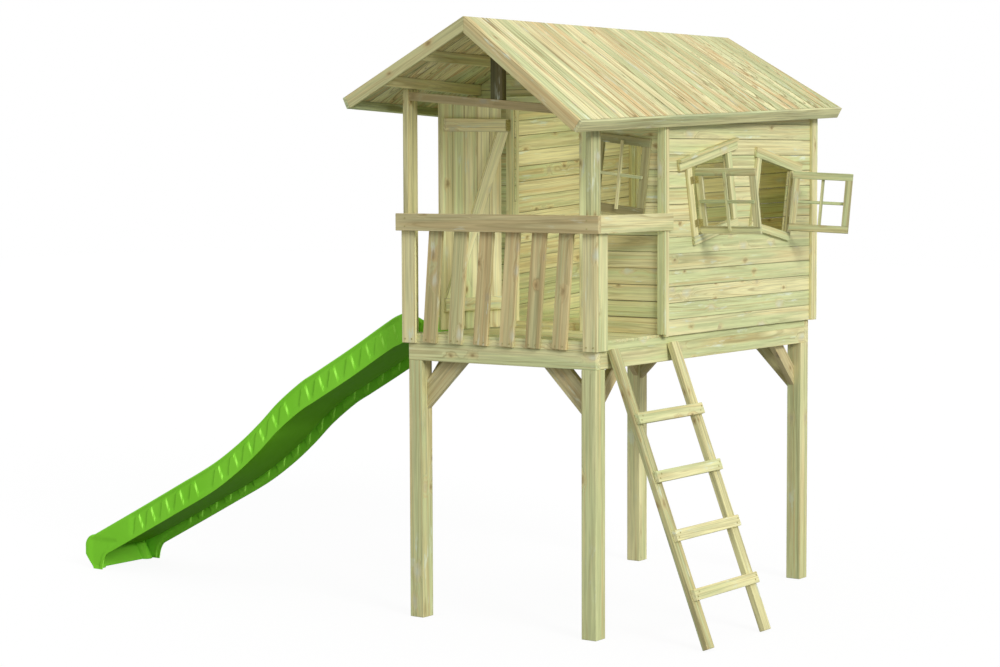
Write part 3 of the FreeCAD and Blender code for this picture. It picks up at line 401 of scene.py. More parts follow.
    def _rings(self, shader: Shader, place: object, axes: tuple, marks: tuple,
               knot: object) -> Socket:
        """Distance from the pith, which wanders along the board and bends round knots.

        Args:
            shader: Material in the making.
            place: Shifted grain coordinates.
            axes: Distances along, across and through the board.
            marks: The board's three random numbers.
            knot: Distance from the nearest knot.

        Returns:
            The distance in metres.
        """
        along, across, deep = axes
        tone, hue, seed = marks
        wander = shader.noise(place, self.wander_cells, 2.0)
        side = shader.math("ADD", across, shader.math("MULTIPLY_ADD", hue, *self.pith_side))
        taper = shader.math("MULTIPLY", along, shader.math("MULTIPLY_ADD", tone, *self.pith_lean))
        under = shader.math("ADD", shader.math("ADD", deep, taper),
                            shader.math("MULTIPLY_ADD", seed, *self.pith_depth))
        radius = shader.vector("LENGTH", shader.join(0.0, side, under))
        radius = shader.math("MULTIPLY_ADD", wander, self.wander, radius)
        bulge = shader.step(knot, *self.bulge_range)
        return shader.math("MULTIPLY_ADD", bulge, self.knot_bulge, radius)

    def _knots(self, shader: Shader, along: object, across: object,
               seed: object) -> tuple[Socket, Socket]:
        """Scattered knots.

        Args:
            shader: Material in the making.
            along: Distance along the board.
            across: Distance round the board, across its faces.
            seed: Random number of the board.

        Returns:
            Distance from the nearest knot, in knot sizes, and a random number of that knot.
        """
        x, y = (shader.math("MULTIPLY_ADD", seed, shift, shader.math("MULTIPLY", value, cells))
                for value, cells, shift in zip((along, across), self.knot_cells, self.knot_shift))
        fine = [shader.math("MULTIPLY", value, cells)
                for value, cells in zip((x, y), self.ragged_cells)]
        ragged = shader.noise(shader.join(*fine, 0.0), 1.0, 2.0)
        spots = shader.set(shader.add("TexVoronoi", voronoi_dimensions="2D", feature="F1"),
                           Vector=shader.join(x, y, 0.0), Scale=1.0, Randomness=0.9).outputs
        chance, kind, _ = shader.split(spots["Color"])
        absent = shader.step(chance, self.knot_share, self.knot_share - 0.01)
        size = shader.math("MULTIPLY_ADD", kind, *self.knot_size)
        distance = shader.math("ADD", shader.math("DIVIDE", spots["Distance"], size), absent)
        return shader.math("MULTIPLY_ADD", ragged, self.raggedness, distance), kind

    def _spots(self, shader: Shader, colour: object, distance: object, kind: object) -> Socket:
        """Knots: a brown heart in warmer wood, or a spot of pale salts.

        Args:
            shader: Material in the making.
            colour: Colour of the wood.
            distance: Distance from the nearest knot, in knot sizes.
            kind: Random number of the knot.

        Returns:
            The colour with knots.
        """
        brown = shader.step(kind, 0.72, 0.4, 0.2, 0.75)
        pale = shader.step(kind, 0.5, 0.75, 0.0, 0.62)
        for limits, strength, tint in ((self.halo_range, self.halo_strength, self.warm),
                                       (self.heart_range, brown, self.knot),
                                       (self.spot_range, pale, self.salts)):
            share = shader.math("MULTIPLY", shader.step(distance, *limits), strength)
            colour = shader.colour(share, colour, tint)
        return colour


@dataclass(frozen=True)
class PlasticFinish:
    """Moulded plastic with a satin skin. Cells and pebbles are per metre."""

    name: str = "slide_plastic"
    base: Colour = srgb(138, 220, 62)
    deep: Colour = srgb(130, 213, 54)
    worn: Colour = srgb(152, 226, 84)
    # Painted shade on faces that look down.
    under: Colour = srgb(92, 158, 20)
    # Painted highlight on upright faces turned to the sun.
    edge: Colour = srgb(176, 250, 96)
    roughness: float = 0.45
    gloss: float = 0.1
    density: float = 1.2
    scuff_cells: Triple = (14.0, 90.0, 14.0)
    scuff_strength: float = 0.15
    pebbles: float = 420.0

    def material(self) -> bpy.types.Material:
        """Plastic with faint clouding, scuffs, a painted highlight on upright faces turned to the sun,
        painted shade on faces that look down, and a fine pebbled skin.

        Returns:
            The finished material.
        """
        shader = Shader(self.name)
        place = shader.position()
        cloud = shader.noise(place, 2.6, 3.0)
        scuff = shader.noise(place, self.scuff_cells, 3.0)
        colour = shader.colour(shader.step(cloud, 0.35, 0.7), self.base, self.deep)
        colour = shader.colour(shader.step(scuff, 0.6, 0.8, 0.0, self.scuff_strength), colour,
                               self.worn)
        # Painted highlight on upright faces turned to the sun.
        colour = shader.colour(shader.share("rubbed"), colour, self.edge)
        # Painted shade on faces that look down.
        colour = shader.colour(shader.share("under"), colour, self.under)
        rough = shader.step(scuff, 0.3, 0.8, self.roughness, self.roughness + 0.12)
        shader.set(shader.surface, Base_Color=colour, Roughness=rough,
                   Specular_IOR_Level=self.gloss, IOR=self.density)
        shader.relief(shader.noise(place, self.pebbles, 1.0), 0.0002, 0.25)
        return shader.material


@dataclass(frozen=True)
class SteelFinish:
    """Yellow-passivated zinc coat of hinges and screws."""

    name: str = "zinc_steel"
    bright: Colour = srgb(206, 198, 140)
    dull: Colour = srgb(176, 166, 110)
    spangles: float = 180.0
    metallic: float = 0.7

    def material(self) -> bpy.types.Material:
        """Plated steel with a clouded coat.

        Returns:
            The finished material.
        """
        shader = Shader(self.name)
        spangle = shader.noise(shader.position(), self.spangles, 3.0)
        shader.set(shader.surface,
                   Base_Color=shader.colour(shader.step(spangle, 0.35, 0.65), self.bright, self.dull),
                   Roughness=shader.step(spangle, 0.3, 0.7, 0.38, 0.55), Metallic=self.metallic)
        shader.relief(spangle, 0.0001, 0.2)
        return shader.material


class Finish(Enum):
    """Finishes of the playhouse."""

    # Finishes with a joint strength darken each timber's eased arrises: dark joints between cladding and
    # roof boards, and painted shade along the edges of trims, casements, the door and the front window
    # frame.
    FRAME = TimberFinish("treated_frame", tone_low=0.93)
    CLADDING = TimberFinish("treated_cladding", joint_strength=0.9, knot_share=0.8)
    TRIM = TimberFinish("treated_trim", tone_low=0.93, joint_strength=0.6)
    # Painted light: the door's wood is paler than the rest, standing in for light that the veranda roof
    # keeps off the door.
    DOOR = TimberFinish("treated_door_painted_light", pale=srgb(252, 247, 198), green=srgb(232, 240, 184),
                        heat=0.03, band_strength=0.5, line_strength=0.36, tone_low=0.96,
                        joint_strength=0.6)
    # Browner wood, lowered in paleness as painted shade for the shaded fronts of the veranda posts; the
    # ladder stringers share it.
    POST = TimberFinish("treated_post_and_painted_shade", pale=srgb(226, 220, 164), green=srgb(202, 206, 152),
                        warm=srgb(204, 178, 122), tone_low=0.94, streak_strength=0.3,
                        knot_share=0.72)
    # Painted shade: wood darkened for the front window frame, which lies in the veranda's shade.
    SHADED = TimberFinish("treated_painted_shade", pale=srgb(172, 168, 120), green=srgb(148, 156, 114),
                          warm=srgb(158, 138, 92), joint_strength=0.6)
    CASEMENT = TimberFinish("treated_casement", pale=srgb(232, 230, 176), green=srgb(196, 208, 156),
                            warm=srgb(210, 186, 132), streak_strength=0.24, joint_strength=0.6)
    EAVES = TimberFinish("treated_eaves", pale=srgb(224, 222, 168), green=srgb(198, 208, 158),
                         warm=srgb(206, 188, 136), streak_strength=0.26)
    # Browner, darker wood: the warmer tone of the front rail and cross beam, and painted shade on the knee
    # braces under the platform.
    BROWN_AND_PAINTED_SHADE = TimberFinish("treated_brown_and_painted_shade", pale=srgb(222, 208, 156), green=srgb(206, 198, 148),
                           warm=srgb(196, 172, 120), heat=0.06)
    # Painted deep shade: the king post's wood darkened for the shade of the roof over it.
    PAINTED_DEEP_SHADE = TimberFinish("treated_painted_deep_shade", pale=srgb(128, 120, 80), green=srgb(106, 106, 70),
                            warm=srgb(110, 92, 58), latewood=srgb(70, 56, 34), knot_share=1.0)
    ROOFING = TimberFinish("treated_roofing", pale=srgb(240, 233, 180), green=srgb(204, 210, 156),
                           warm=srgb(222, 192, 136), line_strength=0.85, band_strength=0.9,
                           tone_low=0.93, knot_share=0.96, joint_strength=0.45)
    WARMED = TimberFinish("treated_warm", pale=srgb(228, 212, 156), green=srgb(204, 202, 148),
                          warm=srgb(202, 170, 116), heat=0.04, tone_low=0.93, knot_share=0.66)
    PLASTIC = PlasticFinish()
    STEEL = SteelFinish()


class Paintshop:
    """Makes each finish's material once."""

    def __init__(self) -> None:
        """Start with no material made."""
        self.made: dict[Finish, bpy.types.Material] = {}

    def material(self, finish: Finish) -> bpy.types.Material:
        """Material of a finish.

        Args:
            finish: The finish wanted.

        Returns:
            The material, made on first use.
        """
        if finish not in self.made:
            self.made[finish] = finish.value.material()
        return self.made[finish]


def body_of(node: str) -> str:
    """Name of the body that a node belongs to."""
    return frame["nodes"][node]["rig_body"]


def joined(shapes: Iterable[Shape], name: str) -> bpy.types.Mesh:
    """One mesh of several shapes.

    Args:
        shapes: The shapes in their order, which are freed.
        name: Name of the mesh.

    Returns:
        The mesh.
    """
    mesh = bpy.data.meshes.new(name)
    whole = bmesh.new()
    for shape in shapes:
        shape.to_mesh(mesh)
        shape.free()
        whole.from_mesh(mesh)
    whole.to_mesh(mesh)
    whole.free()
    return mesh


def mark_faces(mesh: bpy.types.Mesh, **marks: list[float]) -> None:
    """Give a mesh attributes with one number for each face."""
    for name, values in marks.items():
        mesh.attributes.new(name, "FLOAT", "FACE").data.foreach_set("value", values)


def stand(name: str, data: bpy.types.ID) -> bpy.types.Object:
    """New object in the scene."""
    item = bpy.data.objects.new(name, data)
    bpy.context.scene.collection.objects.link(item)
    return item


def add_piece(name: str, mesh: bpy.types.Mesh, material: bpy.types.Material, body: str) -> bpy.types.Object:
    """Put a finished mesh in the scene and let it ride on a body.

    Args:
        name: Name of the piece.
        mesh: Its mesh, in place.
        material: Its material.
        body: Body that it rides on.

    Returns:
        The new object.
    """
    mesh.materials.append(material)
    piece = stand(name, mesh)
    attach(piece, body)
    return piece


@dataclass
class PlanedTimber:
    """Timbers of one node with their arrises eased and marked for dark joints and painted edge shade, and
    their grain marked. Lengths are in metres.
    """

    node: str
    finish: Finish
    ease: float
    parallel: bool
    joint_range: Pair = (0.15, 0.85)
    weld: float = 0.00001
    segments: int = 2
    crease: float = math.radians(25)
    flat: float = math.radians(0.6)
    room_share: float = 0.35

    def solids(self) -> Iterator[list[tuple[Vector, ...]]]:
        """Triangles of each closed solid of the node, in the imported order.

        Yields:
            The triangles of one solid.
        """
        mesh = frame["nodes"][self.node].data
        open_edges: set[tuple] = set()
        held: list[tuple[Vector, ...]] = []
        for polygon in mesh.polygons:
            corners = tuple(mesh.vertices[index].co.copy() for index in polygon.vertices)
            keys = [tuple(round(value / self.weld) for value in corner) for corner in corners]
            for first, last in zip(keys, keys[1:] + keys[:1]):
                open_edges ^= {(min(first, last), max(first, last))}
            held.append(corners)
            if not open_edges:
                yield held
                held = []

    def merged(self, triangles: list[tuple[Vector, ...]]) -> Shape:
        """One timber with each flat face in one piece.

        Args:
            triangles: The solid's triangles.

        Returns:
            The timber's shape.
        """
        timber = bmesh.new()
        for corners in triangles:
            timber.faces.new([timber.verts.new(corner) for corner in corners])
        bmesh.ops.remove_doubles(timber, verts=timber.verts, dist=self.weld)
        bmesh.ops.dissolve_limit(timber, angle_limit=self.flat, use_dissolve_boundaries=False,
                                 verts=timber.verts, edges=timber.edges)
        return timber

    def room(self, timber: Shape) -> float:
        """Least distance from a corner to an edge across a face, which keeps arrises apart.

        Args:
            timber: The timber, before its arrises are eased.

        Returns:
            The distance in metres.
        """
        least = math.inf
        for face in timber.faces:
            if len(face.verts) > 4:
                for edge in face.edges:
                    start, end = (vert.co for vert in edge.verts)
                    for vert in face.verts:
                        if vert not in edge.verts:
                            share = (vert.co - start).dot(end - start) / (end - start).length_squared
                            nearest = start.lerp(end, min(max(share, 0.0), 1.0))
                            least = min(least, (vert.co - nearest).length)
        return least

    @staticmethod
    def longest(timbers: Iterable[Shape]) -> Vector:
        """Direction of the longest edge of some timbers."""
        edge = max((edge for timber in timbers for edge in timber.edges),
                   key=lambda item: item.calc_length())
        return (edge.verts[1].co - edge.verts[0].co).normalized()

    def axes(self, timber: Shape, shared: Optional[Vector]) -> Matrix:
        """Directions of a timber: along its longest edge, across, and through its broad face.

        Args:
            timber: The timber, before its arrises are eased.
            shared: Direction of the grain, where the node's boards all share it.

        Returns:
            Matrix whose rows are the three directions.
        """
        along = self.longest([timber]) if shared is None else shared
        broad = max(timber.faces, key=lambda face: face.calc_area() * (1 - abs(face.normal.dot(along))))
        through = (broad.normal - along * broad.normal.dot(along)).normalized()
        return Matrix((along, through.cross(along), through))

    def round_off(self, timber: Shape) -> set[bmesh.types.BMFace]:
        """Ease a timber's arrises.

        Args:
            timber: The timber.

        Returns:
            The new faces along its arrises.
        """
        sharp = [edge for edge in timber.edges if edge.calc_face_angle(0.0) > self.crease]
        ease = min(self.ease, self.room(timber) * self.room_share)
        made = bmesh.ops.bevel(timber, geom=sharp, offset=ease, offset_type="OFFSET",
                               affect="EDGES", segments=self.segments, profile=0.5,
                               material=-1, clamp_overlap=True)
        return set(made["faces"])

    def build(self, paintshop: Paintshop) -> None:
        """Make the piece and let it stand for its node.

        Args:
            paintshop: Source of materials.
        """
        dice = random.Random(self.node)
        timbers = [self.merged(triangles) for triangles in self.solids()]
        shared = self.longest(timbers) if self.parallel else None
        grain: list[float] = []
        board: list[float] = []
        joint: list[float] = []
        for timber in timbers:
            axes = self.axes(timber, shared)
            centre = sum((vert.co for vert in timber.verts), Vector()) / len(timber.verts)
            arrises = self.round_off(timber)
            mark = [dice.random() for _ in range(3)]
            # How dark this timber's eased arrises are painted: dark joints, and painted edge shade.
            depth = dice.uniform(*self.joint_range)
            joint.extend(depth if face in arrises else 0.0 for face in timber.faces)
            for vert in timber.verts:
                grain.extend(axes @ (vert.co - centre))
                board.extend(mark)
        mesh = joined(timbers, self.node + "_planed")
        for name, values in (("grain", grain), ("board", board)):
            mesh.attributes.new(name, "FLOAT_VECTOR", "POINT").data.foreach_set("vector", values)
        mark_faces(mesh, joint=joint)
        piece = add_piece(mesh.name, mesh, paintshop.material(self.finish), body_of(self.node))
        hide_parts(self.node)
        log.info("%s: %d timbers, %d faces", piece.name, len(timbers), len(mesh.polygons))


@dataclass
class Timberwork:
    """A sub-assembly of planed timbers."""

    nodes: tuple[str, ...]
    finish: Finish
    ease: float = 0.0018
    parallel: bool = False

    def build(self, paintshop: Paintshop) -> None:
        """Plane and dress each node of the sub-assembly.

        Args:
            paintshop: Source of materials.
        """
        for node in self.nodes:
            PlanedTimber(node, self.finish, self.ease, self.parallel).build(paintshop)


@dataclass
class Hardware:
    """Steel hinges and screws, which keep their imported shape."""

    nodes: tuple[str, ...] = ("door_hinges", "casement_1_hinges", "casement_2_hinges",
                              "hinges_fixed", "screw_heads")

    def build(self, paintshop: Paintshop) -> None:
        """Give each node its finish.

        Args:
            paintshop: Source of materials.
        """
        for name in self.nodes:
            slots = frame["nodes"][name].material_slots
            for slot in slots:
                slot.material = paintshop.material(Finish.STEEL)
            log.info("%s: %d slots", name, len(slots))


@dataclass
class MouldedSlide:
    """Plastic slide, one moulded skin. Lengths are in metres, and run is the distance from its mouth."""

    mouth_x: float = -1.080
    near_y: float = 0.055
    width: float = 0.504
    mouth_run: float = 0.085
    rim_start: float = 0.210
    rim_height: float = 1.649
    reach: float = 2.404
    end_rim: float = 0.208
    nose: float = 0.066
    side_height: float = 0.165
    bed_depth: float = 0.120
    rim_width: float = 0.038
    skin: float = 0.005
    runout: float = 0.088
    rounding: float = 0.050
    rim_low: float = 0.012
    floor: float = 1.552
    draft: float = 0.008
    foot: float = 0.076
    arch: float = 0.045
    corner: float = 0.055
    roll: float = 0.034
    roll_gap: float = 0.012
    crisp: float = math.radians(35)
    skin_reach: float = 0.97
    apron_reach: float = 0.95
    apron_grid: tuple[int, int] = (140, 8)
    apron_thickness: float = 0.0045
    upright: float = 0.35
    # Range of the painted highlight, by how far an upright face turns to the sun.
    rubbed_range: Pair = (0.35, 0.75)
    # Range of the painted shade, by how far a face looks down.
    underside_shade_range: Pair = (-0.5, -0.8)
    stations: int = 740
    skirt_points: int = 13
    boss_height: float = 0.008
    boss_slope: float = 0.003
    boss_lean: float = 0.014
    flange: float = 0.034
    flange_foot: float = 0.8
    flange_arch: float = 1.6
    panel_top: float = 0.196
    panel_depth: float = 0.005
    panel_frame: float = 0.009
    panel_fade: float = 0.014
    panel_start: Pair = (2.20, 2.34)
    panel_end: float = 0.05
    boss_foot: float = 0.047
    boss_head: float = 0.014
    boss_taper: float = 0.8
    boss_top: Pair = (0.86, 0.78)
    recess_low: Pair = (-3.40, -3.34)
    recess_high: Pair = (-1.28, -1.34)
    recess_foot: Pair = (0.16, 0.28)
    recess_head: Pair = (1.0, 0.9)
    bosses: tuple[float, ...] = (
        -3.316, -3.215, -3.096, -2.980, -2.861,
        -2.668, -2.547, -2.438, -2.346, -2.249, -2.156,
        -2.000, -1.898, -1.790, -1.667, -1.558, -1.454, -1.362)
    rim_line: tuple[Pair, ...] = (
        (0.000, 0.000), (0.029, 0.021), (0.150, 0.142), (0.259, 0.245),
        (0.306, 0.289), (0.378, 0.377), (0.436, 0.464), (0.502, 0.552),
        (0.586, 0.645), (0.714, 0.757), (0.846, 0.870), (1.000, 1.000))

    @property
    def rim_end(self) -> float:
        """Run at which the rim ends and the nose starts."""
        return self.rim_start + self.reach

    def rim_at(self, run: float) -> float:
        """Height of the rim, on a smooth curve through the rim line's points.

        Args:
            run: Distance from the mouth.

        Returns:
            Height of the rim.
        """
        if run < self.rim_start:
            share = math.sin(run / self.rim_start * math.pi / 2)
            return mix(self.floor + self.skin + self.rim_low, self.rim_height, share)
        if run > self.rim_end:
            share = min((run - self.rim_end) / self.nose, 1.0)
            return self.end_rim - self.nose * (1 - math.sqrt(max(1 - share ** 2, 0.0)))
        drop = self.rim_height - self.end_rim
        points = [(self.rim_start + along * self.reach, self.rim_height - down * drop)
                  for along, down in self.rim_line]
        index = max(i for i in range(len(points) - 1) if points[i][0] <= run or i == 0)
        slopes = []
        for i in (index, index + 1):
            low, high = points[max(i - 1, 0)], points[min(i + 1, len(points) - 1)]
            slopes.append((high[1] - low[1]) / (high[0] - low[0]))
        (x0, z0), (x1, z1) = points[index], points[index + 1]
        step, share = x1 - x0, (run - x0) / (x1 - x0)
        return ((1 + 2 * share) * (1 - share) ** 2 * z0 + share * (1 - share) ** 2 * step * slopes[0]
                + share ** 2 * (3 - 2 * share) * z1 + share ** 2 * (share - 1) * step * slopes[1])

    def levels(self, run: float) -> Triple:
        """Heights of rim, bed and skirt edge.

        Args:
            run: Distance from the mouth.

        Returns:
            Rim, bed and lower edge of the skirt.
        """
        rim = self.rim_at(run)
        lip = self.floor + self.skin
        deep = rim - self.bed_depth
        share = min(max((run - self.mouth_run) / (self.rim_start - self.mouth_run), 0.0), 1.0)
        if share < 1:
            bed = mix(lip, self.rim_height - self.bed_depth, share ** 2)
            low = mix(bed - self.skin, rim - self.side_height, share) if share else self.floor
            return rim, bed, low
        bed = (deep + self.runout + math.hypot(deep - self.runout, self.rounding)) / 2
        foot_start = self.rim_end - self.foot
        low = rim - self.side_height
        if run > self.rim_end:
            low = (run - self.rim_end) / self.nose * self.runout
        elif run >= foot_start:
            low = 0.0
        elif run > foot_start - self.arch:
            turn = 1 - (foot_start - run) / self.arch
            low *= math.sqrt(max(1 - turn ** 2, 0.0))
        return rim, bed, low

    def section(self, run: float) -> list[Pair]:
        """Half of the outer skin's section, from the skirt's edge to the middle of the bed.

        Args:
            run: Distance from the mouth.

        Returns:
            Points as distance from the outer face and height.
        """
        rim, bed, low = self.levels(run)
        lip = min(self.rim_width / 3, (rim - bed) / 3)
        turn = min(self.corner, (rim - bed) / 2)
        foot = self.rim_width + turn / self.corner * self.draft
        top = rim - lip
        points = [(0.0, mix(low, top, index / self.skirt_points))
                  for index in range(self.skirt_points)]
        bends = [math.radians(angle) for angle in (0, 30, 60, 90)]
        edge = [(lip * (1 - math.cos(bend)), top + lip * math.sin(bend)) for bend in bends]
        points += edge + [(self.rim_width - out, up) for out, up in reversed(edge)]
        points += [(mix(self.rim_width, foot, share), mix(top, bed + turn, share))
                   for share in (0.35, 0.7)]
        bends = [math.radians(angle) for angle in (0, 18, 36, 54, 72, 90)]
        points += [(foot + turn * (1 - math.cos(bend)), bed + turn * (1 - math.sin(bend)))
                   for bend in bends]
        return points + [(mix(foot + turn, self.width / 2, share), bed) for share in (0.35, 0.7, 1.0)]

    def panel(self, run: float, up: float) -> float:
        """Depth of the flat panel beside the foot, framed by a flange along the skirt's edge.

        Args:
            run: Distance from the mouth.
            up: Height above the ground.

        Returns:
            Depth in metres.
        """
        start = self.rim_end - self.foot + self.flange * self.flange_foot
        arch = self.arch + self.flange * self.flange_arch
        line = self.rim_at(run) - self.side_height + self.flange
        if run >= start:
            line = 0.0
        elif run > start - arch:
            line *= math.sqrt(max(1 - (1 - (start - run) / arch) ** 2, 0.0))
        framed = (ramp(0.0, self.panel_frame, up - line)
                  * ramp(self.panel_top, self.panel_top - self.panel_fade, up))
        ends = ramp(*self.panel_start, run) * ramp(self.panel_end, 0.0, run - self.rim_end)
        return self.panel_depth * framed * ends

    def recess(self, run: float, up: float, share: float) -> float:
        """Depth of the outer skirt behind its outermost plane, between the raised bosses.

        Args:
            run: Distance from the mouth.
            up: Height above the ground.
            share: Height on the skirt, from 0 at its lower edge to 1 below the rim.

        Returns:
            Depth in metres.
        """
        x = self.mouth_x - run
        half = mix(self.boss_foot, self.boss_head, min(share / self.boss_taper, 1.0))
        raised = 0.0
        for middle in self.bosses:
            away = abs(x - (middle - self.boss_lean * (share - 0.5)))
            raised = max(raised, ramp(half + self.boss_slope / 2, half - self.boss_slope / 2, away))
        raised *= ramp(*self.boss_top, share)
        within = ramp(*self.recess_low, x) * ramp(*self.recess_high, x)
        between = ramp(*self.recess_head, share) * ramp(*self.recess_foot, share)
        return self.boss_height * (1 - raised) * within * between + self.panel(run, up)

    @staticmethod
    def thicken(sheet: Shape, thickness: float, flipped: Callable[[], bool]) -> None:
        """Smooth a sheet, turn it the right way round and thicken it.

        Args:
            sheet: The sheet.
            thickness: Thickness in metres.
            flipped: Says whether the sheet lies the wrong way round.
        """
        for face in sheet.faces:
            face.smooth = True
        bmesh.ops.recalc_face_normals(sheet, faces=sheet.faces)
        sheet.faces.ensure_lookup_table()
        if flipped():
            bmesh.ops.reverse_faces(sheet, faces=sheet.faces)
        bmesh.ops.solidify(sheet, geom=sheet.faces, thickness=thickness)

    def apron(self) -> Shape:
        """Leaning wall between the feet, with an upright roll before each skirt.

        Returns:
            The wall's shape.
        """
        last = self.rim_end + self.nose * self.apron_reach
        wall = bmesh.new()
        columns, rows = self.apron_grid
        bmesh.ops.create_grid(wall, x_segments=columns, y_segments=rows, size=1)
        inner = self.width / 2 - self.skin / 2
        for vert in wall.verts:
            rise = (vert.co.y + 1) / 2
            away = inner * (1 - abs(vert.co.x)) - self.roll_gap - self.roll
            back = math.sqrt(max(self.roll ** 2 - away ** 2, 0.0))
            up = rise * (self.levels(last - self.skin - back)[1] - self.skin / 2)
            lean = mix(self.rim_end, last, rise)
            vert.co = (self.mouth_x - lean + self.skin + back,
                       self.near_y + self.width / 2 + vert.co.x * inner, up)
        self.thicken(wall, self.apron_thickness,
                     lambda: wall.faces[len(wall.faces) // 2].normal.x > 0)
        return wall

    def channel(self) -> Shape:
        """Skin drawn over the sections, from the mouth to the nose.

        Returns:
            The skin's shape.
        """
        across = 2 * len(self.section(self.rim_start)) - 1
        skin = bmesh.new()
        bmesh.ops.create_grid(skin, x_segments=self.stations, y_segments=across - 1, size=1)
        end = self.rim_end + self.nose * self.skin_reach
        runs = [end * index / self.stations for index in range(self.stations + 1)]
        profiles = [self.section(run) for run in runs]
        for vert in skin.verts:
            station = round((vert.co.x + 1) / 2 * self.stations)
            place = round((vert.co.y + 1) / 2 * (across - 1))
            point = min(place, across - 1 - place)
            out, up = profiles[station][point]
            if point < self.skirt_points:
                out += self.recess(runs[station], up, point / self.skirt_points)
            y = self.near_y + (out if point == place else self.width - out)
            vert.co = (self.mouth_x - runs[station], y, up)
        self.thicken(skin, self.skin,
                     lambda: max(skin.faces, key=lambda face: abs(face.normal.z)).normal.z < 0)
        for vert in skin.verts:
            vert.co.z = max(vert.co.z, 0.0)
        return skin

    def build(self, paintshop: Paintshop) -> None:
        """Make the slide and let it stand for its node.

        Args:
            paintshop: Source of materials.
        """
        skin, apron = self.channel(), self.apron()
        skin_faces, plain = len(skin.faces), [0.0] * len(apron.faces)
        mesh = joined((skin, apron), "slide_skin")
        normals = [face.normal.copy() for face in mesh.polygons[:skin_faces]]
        # Painted highlight on upright faces turned to the sun.
        rubbed = [ramp(*self.rubbed_range, normal.x) if abs(normal.z) < self.upright else 0.0
                  for normal in normals]
        # Painted shade on faces that look down.
        under = [ramp(*self.underside_shade_range, normal.z) for normal in normals]
        mesh.set_sharp_from_angle(angle=self.crisp)
        mark_faces(mesh, rubbed=rubbed + plain, under=under + plain)
        piece = add_piece(mesh.name, mesh, paintshop.material(Finish.PLASTIC), body_of("slide"))
        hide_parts("slide")
        log.info("%s: %d faces", piece.name, len(mesh.polygons))


@dataclass(frozen=True)
class SoftLamp:
    """Area lamp that camera and gloss don't see. Lengths are in metres."""

    name: str
    place: Triple
    turn: Triple
    size: Pair
    power: float

    def build(self) -> None:
        """Hang the lamp."""
        data = bpy.data.lights.new(self.name, "AREA")
        data.shape = "RECTANGLE"
        data.size, data.size_y = self.size
        data.energy = self.power
        lamp = stand(self.name, data)
        lamp.location = self.place
        lamp.rotation_euler = self.turn
        lamp.visible_camera = False
        lamp.visible_glossy = False


